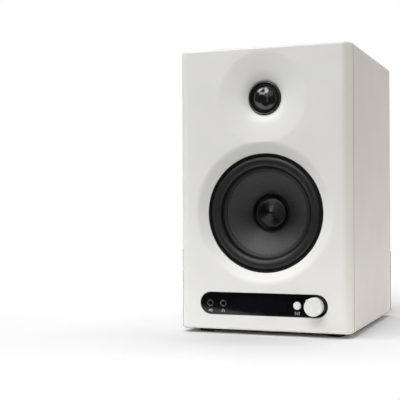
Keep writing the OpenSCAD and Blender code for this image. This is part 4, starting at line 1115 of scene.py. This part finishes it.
    # rocker, tilted to its off side as the CAD has it
    bm = bmesh.new()
    tilt = math.radians(7)
    prof = [(-8, 3.6), (-6, 3.02), (-4, 2.5), (-2, 2.2), (0, 2.1), (2, 2.2), (4, 2.5), (6, 3.02), (8, 3.6), (8, 0.5), (5, -4.2), (-5, -4.2), (-8, 0.5)]
    prof = fillet(prof, [0.5, 0, 0, 0, 0, 0, 0, 0, 0.5, 0.3, 0.4, 0.4, 0.3], 4)
    def turned(x, y):
        return cx + x * math.cos(tilt) - y * math.sin(tilt), 211 + x * math.sin(tilt) + y * math.cos(tilt)
    loops = []
    for z, k in ((-5, 0.96), (-4.85, 0.985), (-4.5, 1), (4.5, 1), (4.85, 0.985), (5, 0.96)):
        loops.append([P(turned(x * k, y * k)[0], turned(x * k, y * k)[1], cz + z) for x, y in prof])
    add_loft(bm, loops)
    for s in (-1, 1):
        a = [bm.verts.new(P(cx + 1.5 * math.cos(2 * math.pi * k / seg), 211 + 1.5 * math.sin(2 * math.pi * k / seg), cz + s * 4.6)) for k in range(seg)]
        b = [bm.verts.new(P(cx + 1.5 * math.cos(2 * math.pi * k / seg), 211 + 1.5 * math.sin(2 * math.pi * k / seg), cz + s * 6.1)) for k in range(seg)]
        bm.faces.new(a)
        bm.faces.new(b[::-1])
        for k in range(seg):
            bm.faces.new((a[k], a[(k + 1) % seg], b[(k + 1) % seg], b[k]))
    finish_mesh("power_rocker_visual", bm, "power_switch", ["power_rocker"], BLACK_GLOSS.m, 35)
    # on and off marks on the rocker: a bar and a ring
    bm = bmesh.new()
    def on_face(x, z, lift):
        y = 2.1 + 1.5 * (abs(x) / 8) ** 1.6 + lift
        tx, ty = turned(x, y)
        return P(tx, ty, cz + z)
    def flat_line(points, wd):
        for i in range(len(points) - 1):
            (xa, za), (xb, zb) = points[i], points[i + 1]
            d = Vector((xb - xa, zb - za)).normalized() * wd / 2
            q = [(xa - d.y, za + d.x), (xb - d.y, zb + d.x), (xb + d.y, zb - d.x), (xa + d.y, za - d.x)]
            f = [bm.verts.new(on_face(x, z, 0.05)) for x, z in q]
            b = [bm.verts.new(on_face(x, z, -0.15)) for x, z in q]
            bm.faces.new(f)
            bm.faces.new(b[::-1])
            for k in range(4):
                n = (k + 1) % 4
                bm.faces.new((f[k], b[k], b[n], f[n]))
    flat_line([(-5, -1.6), (-5, 1.6)], 0.6)
    flat_line([(5 + 1.3 * math.cos(math.radians(q)), 1.3 * math.sin(math.radians(q))) for q in range(0, 361, 20)], 0.5)
    finish_mesh("rocker_marks", bm, "power_switch", (), WHITE_PLASTIC.m, 40)
    # phono sockets: gold shell, hex nut, coloured insulator
    shells, ins = bmesh.new(), {}
    for x in rca:
        add_lathe(shells, fillet([(3.8, 209.5), (3.8, 213.6), (4.15, 213.6), (4.15, 221.5), (3.45, 221.5), (3.45, 209.5)], [0, 0, 0, 0.25, 0.2, 0], 3), x, row_z, 64)
        add_lathe(shells, fillet([(3.9, y1 + 0.05), (6.4, y1 + 0.05), (6.4, y1 + 1.55), (3.9, y1 + 1.55)], [0, 0.1, 0.35, 0.15], 3), x, row_z, 6)
    finish_mesh("rca_shells", shells, "cabinet", (), GOLD.m, 30)
    for x, look, nm in ((45, WHITE_PLASTIC, "left"), (27, RED, "right"), (2, BLACK_PLASTIC, "subwoofer")):
        bm = bmesh.new()
        add_lathe(bm, fillet([(3.4, 209), (3.4, 220.5), (1.65, 220.5), (1.65, 205), (0, 205), (0, 197), (5.6, 197), (5.6, 209)], [0, 0.3, 0.4, 0, 0, 0, 0.3, 0.3], 3), x, row_z, 48)
        finish_mesh(f"rca_insulator_{nm}", bm, "cabinet", ["rca_sockets"], look.m, 30)
    # binding posts
    bm = bmesh.new()
    for x in posts:
        add_lathe(bm, fillet([(3.5, y1 + 0.02), (7.2, y1 + 0.02), (7.2, y1 + 3), (3.5, y1 + 3)], [0, 0.15, 0.6, 0.1], 4), x, row_z, 64)
        add_lathe(bm, [(3.5, y0 - 4), (4.1, y0 - 4), (4.1, y1), (3.5, y1)], x, row_z, 48)
    finish_mesh("post_collars", bm, "cabinet", (), BLACK_PLASTIC.m, 30)
    bm = bmesh.new()
    for x in posts:
        prof = [(0, 196), (2.9, 196)]
        yy = 197.0
        while yy < 226.5:
            prof += [(3.02, yy), (3.4, yy + 0.4)]
            yy += 0.8
        prof += [(3.4, 227.4), (2.9, 228.4), (2.3, 228.4), (2.05, 228.1), (2.05, 213), (0, 213)]
        add_lathe(bm, prof, x, row_z, 64)
    finish_mesh("post_studs", bm, "cabinet", ["post_bodies"], GOLD.m, 25)
    for x, nm, look, sl in ((posts[0], "red", RED, "red_plastic"), (posts[1], "black", BLACK_GLOSS, "cap_plastic_black")):
        bm = bmesh.new()
        add_lathe(bm, fillet([(3.6, y1 + 3.05), (6.2, y1 + 3.05), (6.2, y1 + 4), (3.6, y1 + 4)], [0.1, 0.2, 0.2, 0.1], 3), x, row_z, 64)
        finish_mesh(f"{nm}_post_washer_visual", bm, f"{nm}_post_travel", [f"{nm}_post_washer"], GOLD.m, 30)
        bm = bmesh.new()
        seg = 180
        prof = fillet([(3.55, 216.05), (5.9, 216.05), (6.6, 216.7), (6.6, 221), (5.5, 221.9), (5.5, 222.9), (6.6, 223.8), (6.6, 229.3), (5.9, 230), (4.0, 230), (3.55, 229.4)], [0, 0.2, 0.25, 0.3, 0.4, 0.4, 0.3, 0.25, 0.25, 0.15, 0.1], 3)
        add_lathe(bm, prof, x, row_z, seg)
        bm.verts.ensure_lookup_table()
        for v in bm.verts:
            dx, dz = v.co.x / MM - x, (v.co.z - Z0) / MM - row_z
            r = math.hypot(dx, dz)
            if r > 6.45:
                a = math.atan2(dz, dx)
                d = -0.42 * max(0.0, math.cos(18 * a)) ** 3
                v.co += Vector((dx / r * d * MM, 0, dz / r * d * MM))
        finish_mesh(f"{nm}_post_cap_visual", bm, f"{nm}_post_grip", [f"{nm}_post_cap"], look.m, 40)


build_baffle()
build_shell()
build_rear_panel()
build_feet()
build_foam()
build_port()
build_woofer()
build_tweeter()
build_controls()
build_rear()


# ------------------------------------------------------------------ stage
FLOOR = [(-1.6, -0.36), (-0.554, -0.43), (-0.294, -0.45), (-0.138, -0.332), (-0.043, -0.265), (0.03, -0.275), (0.178, -0.315), (0.268, -0.264), (0.39, -0.22), (1.6, -0.20), (1.6, 1.6), (-1.6, 1.6)]
WORLD = (0.05, 0.05, 0.05, 0.06)
# softboxes round the object: name, azimuth to the right of straight ahead, elevation, distance, width, height, watts, warmth
# the four key panels stand round a dark gap, which the tweeter dome and the dust cap mirror
SOFTBOXES = [
    ("key_left", -65, 52, 2.0, 0.65, 0.87, 12.9, 0),
    ("key_top", -17, 69, 2.0, 0.58, 0.42, 4.5, 0),
    ("key_right", 3, 51, 2.0, 0.62, 0.90, 13.2, 0),
    ("key_low", -28, 35, 2.0, 1.25, 0.46, 8.4, 0),
    ("front_right", 20, 38, 2.2, 2.3, 1.7, 8.3, 0),
    ("strip", 12, 4, 2.0, 0.40, 1.9, 1.3, 0),
    ("right_wall", 74, 0, 2.0, 0.42, 2.2, 2.0, 1),
    ("side", 116, 28, 2.0, 1.0, 1.4, 9.8, 2.1),
    ("rear", 150, 30, 2.2, 1.2, 1.0, 2.9, 1),
    ("back", 180, 73, 2.2, 1.8, 1.0, 23.0, 0),
    ("back_left", -150, 66, 2.2, 1.2, 1.0, 8.0, 0),
]


def area(name, az, el, dist, sx, sy, power, color=(1, 1, 1)):
    """A softbox aimed at the middle of the object, az degrees to the right of straight ahead and el degrees up."""
    a, e = math.radians(az), math.radians(el)
    pos = Vector((math.sin(a) * math.cos(e) * dist, -math.cos(a) * math.cos(e) * dist, 0.14 + math.sin(e) * dist))
    d = bpy.data.lights.new(name, "AREA")
    d.shape = "RECTANGLE"
    d.size, d.size_y, d.energy, d.color = sx, sy, power, color
    o = bpy.data.objects.new(name, d)
    S.collection.objects.link(o)
    q = (Vector((0, 0, 0.14)) - pos).to_track_quat("-Z", "Y")
    o.location = pos
    o.rotation_euler = q.to_euler()
    return o


def stage():
    floor_mat = speckled("studio_floor", (0.90, 0.90, 0.895), (0.88, 0.88, 0.875), 0.7, fine=300, coarse=3, bump=0.02)
    bm = bmesh.new()
    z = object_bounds()[0][2] - 0.00002
    bm.faces.new([bm.verts.new((x, y, z)) for x, y in FLOOR])
    me = bpy.data.meshes.new("floor")
    bm.to_mesh(me)
    bm.free()
    o = bpy.data.objects.new("floor", me)
    S.collection.objects.link(o)
    me.materials.append(floor_mat.m)
    o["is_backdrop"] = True
    o.is_shadow_catcher = True

    w = bpy.data.worlds.new("studio")
    S.world = w
    w.use_nodes = True
    nt = w.node_tree
    nt.nodes.clear()
    out = nt.nodes.new("ShaderNodeOutputWorld")
    mix = nt.nodes.new("ShaderNodeMixShader")
    seen, light = nt.nodes.new("ShaderNodeBackground"), nt.nodes.new("ShaderNodeBackground")
    seen.inputs[0].default_value = (1, 1, 1, 1)
    seen.inputs[1].default_value = 1.0
    path = nt.nodes.new("ShaderNodeLightPath")
    co = nt.nodes.new("ShaderNodeTexCoord")
    sep = nt.nodes.new("ShaderNodeSeparateXYZ")
    rmp = nt.nodes.new("ShaderNodeValToRGB")
    add = nt.nodes.new("ShaderNodeMapRange")
    add.inputs[1].default_value, add.inputs[2].default_value = -1, 1
    nt.links.new(co.outputs["Generated"], sep.inputs[0])
    nt.links.new(sep.outputs[2], add.inputs[0])
    nt.links.new(add.outputs[0], rmp.inputs[0])
    e = rmp.color_ramp.elements
    e[0].position, e[0].color = 0.50, (WORLD[0],) * 3 + (1,)
    e[1].position, e[1].color = 1.0, (WORLD[3] * 0.93, WORLD[3] * 0.97, WORLD[3] * 1.05, 1)
    for pos, c in ((0.62, WORLD[1]), (0.80, WORLD[2])):
        x = e.new(pos)
        x.color = (c, c, c * 1.02, 1)
    nt.links.new(rmp.outputs[0], light.inputs[0])
    light.inputs[1].default_value = 1.0
    nt.links.new(path.outputs["Is Camera Ray"], mix.inputs[0])
    nt.links.new(light.outputs[0], mix.inputs[1])
    nt.links.new(seen.outputs[0], mix.inputs[2])
    nt.links.new(mix.outputs[0], out.inputs[0])
    floor_only = bpy.data.collections.new("floor_only")
    floor_only.objects.link(o)
    for name, az, el, dist, w, h, power, warm in SOFTBOXES:
        tint = (1.0, 1 - 0.043 * warm, 1 - 0.075 * warm)
        lamp = area(name, az, el, dist, w, h, power, tint)
        if name.startswith("back"):  # the light for the floor is flagged off the object, whose top would burn out
            lamp.light_linking.receiver_collection = floor_only


def camera():
    yaw, pitch, roll = math.radians(21.127), math.radians(0.381), math.radians(-0.238)
    f = Vector((-math.sin(yaw) * math.cos(pitch), math.cos(yaw) * math.cos(pitch), math.sin(pitch)))
    right = Vector((math.cos(yaw), math.sin(yaw), 0))
    up = right.cross(f)
    r = right * math.cos(roll) + up * math.sin(roll)
    u = -right * math.sin(roll) + up * math.cos(roll)
    m = Matrix((r, u, -f)).transposed().to_4x4()
    m.translation = P(275.69, -883.31, 121.96)
    d = bpy.data.cameras.new("camera")
    d.sensor_fit = "HORIZONTAL"
    d.sensor_width = 36.0
    d.lens = 945.76 * 36 / 400
    d.clip_start, d.clip_end = 0.01, 50
    o = bpy.data.objects.new("camera", d)
    S.collection.objects.link(o)
    o.matrix_world = m
    S.camera = o


stage()
camera()
S.view_settings.view_transform = "Standard"
S.view_settings.look = "None"
S.cycles.use_denoising = True
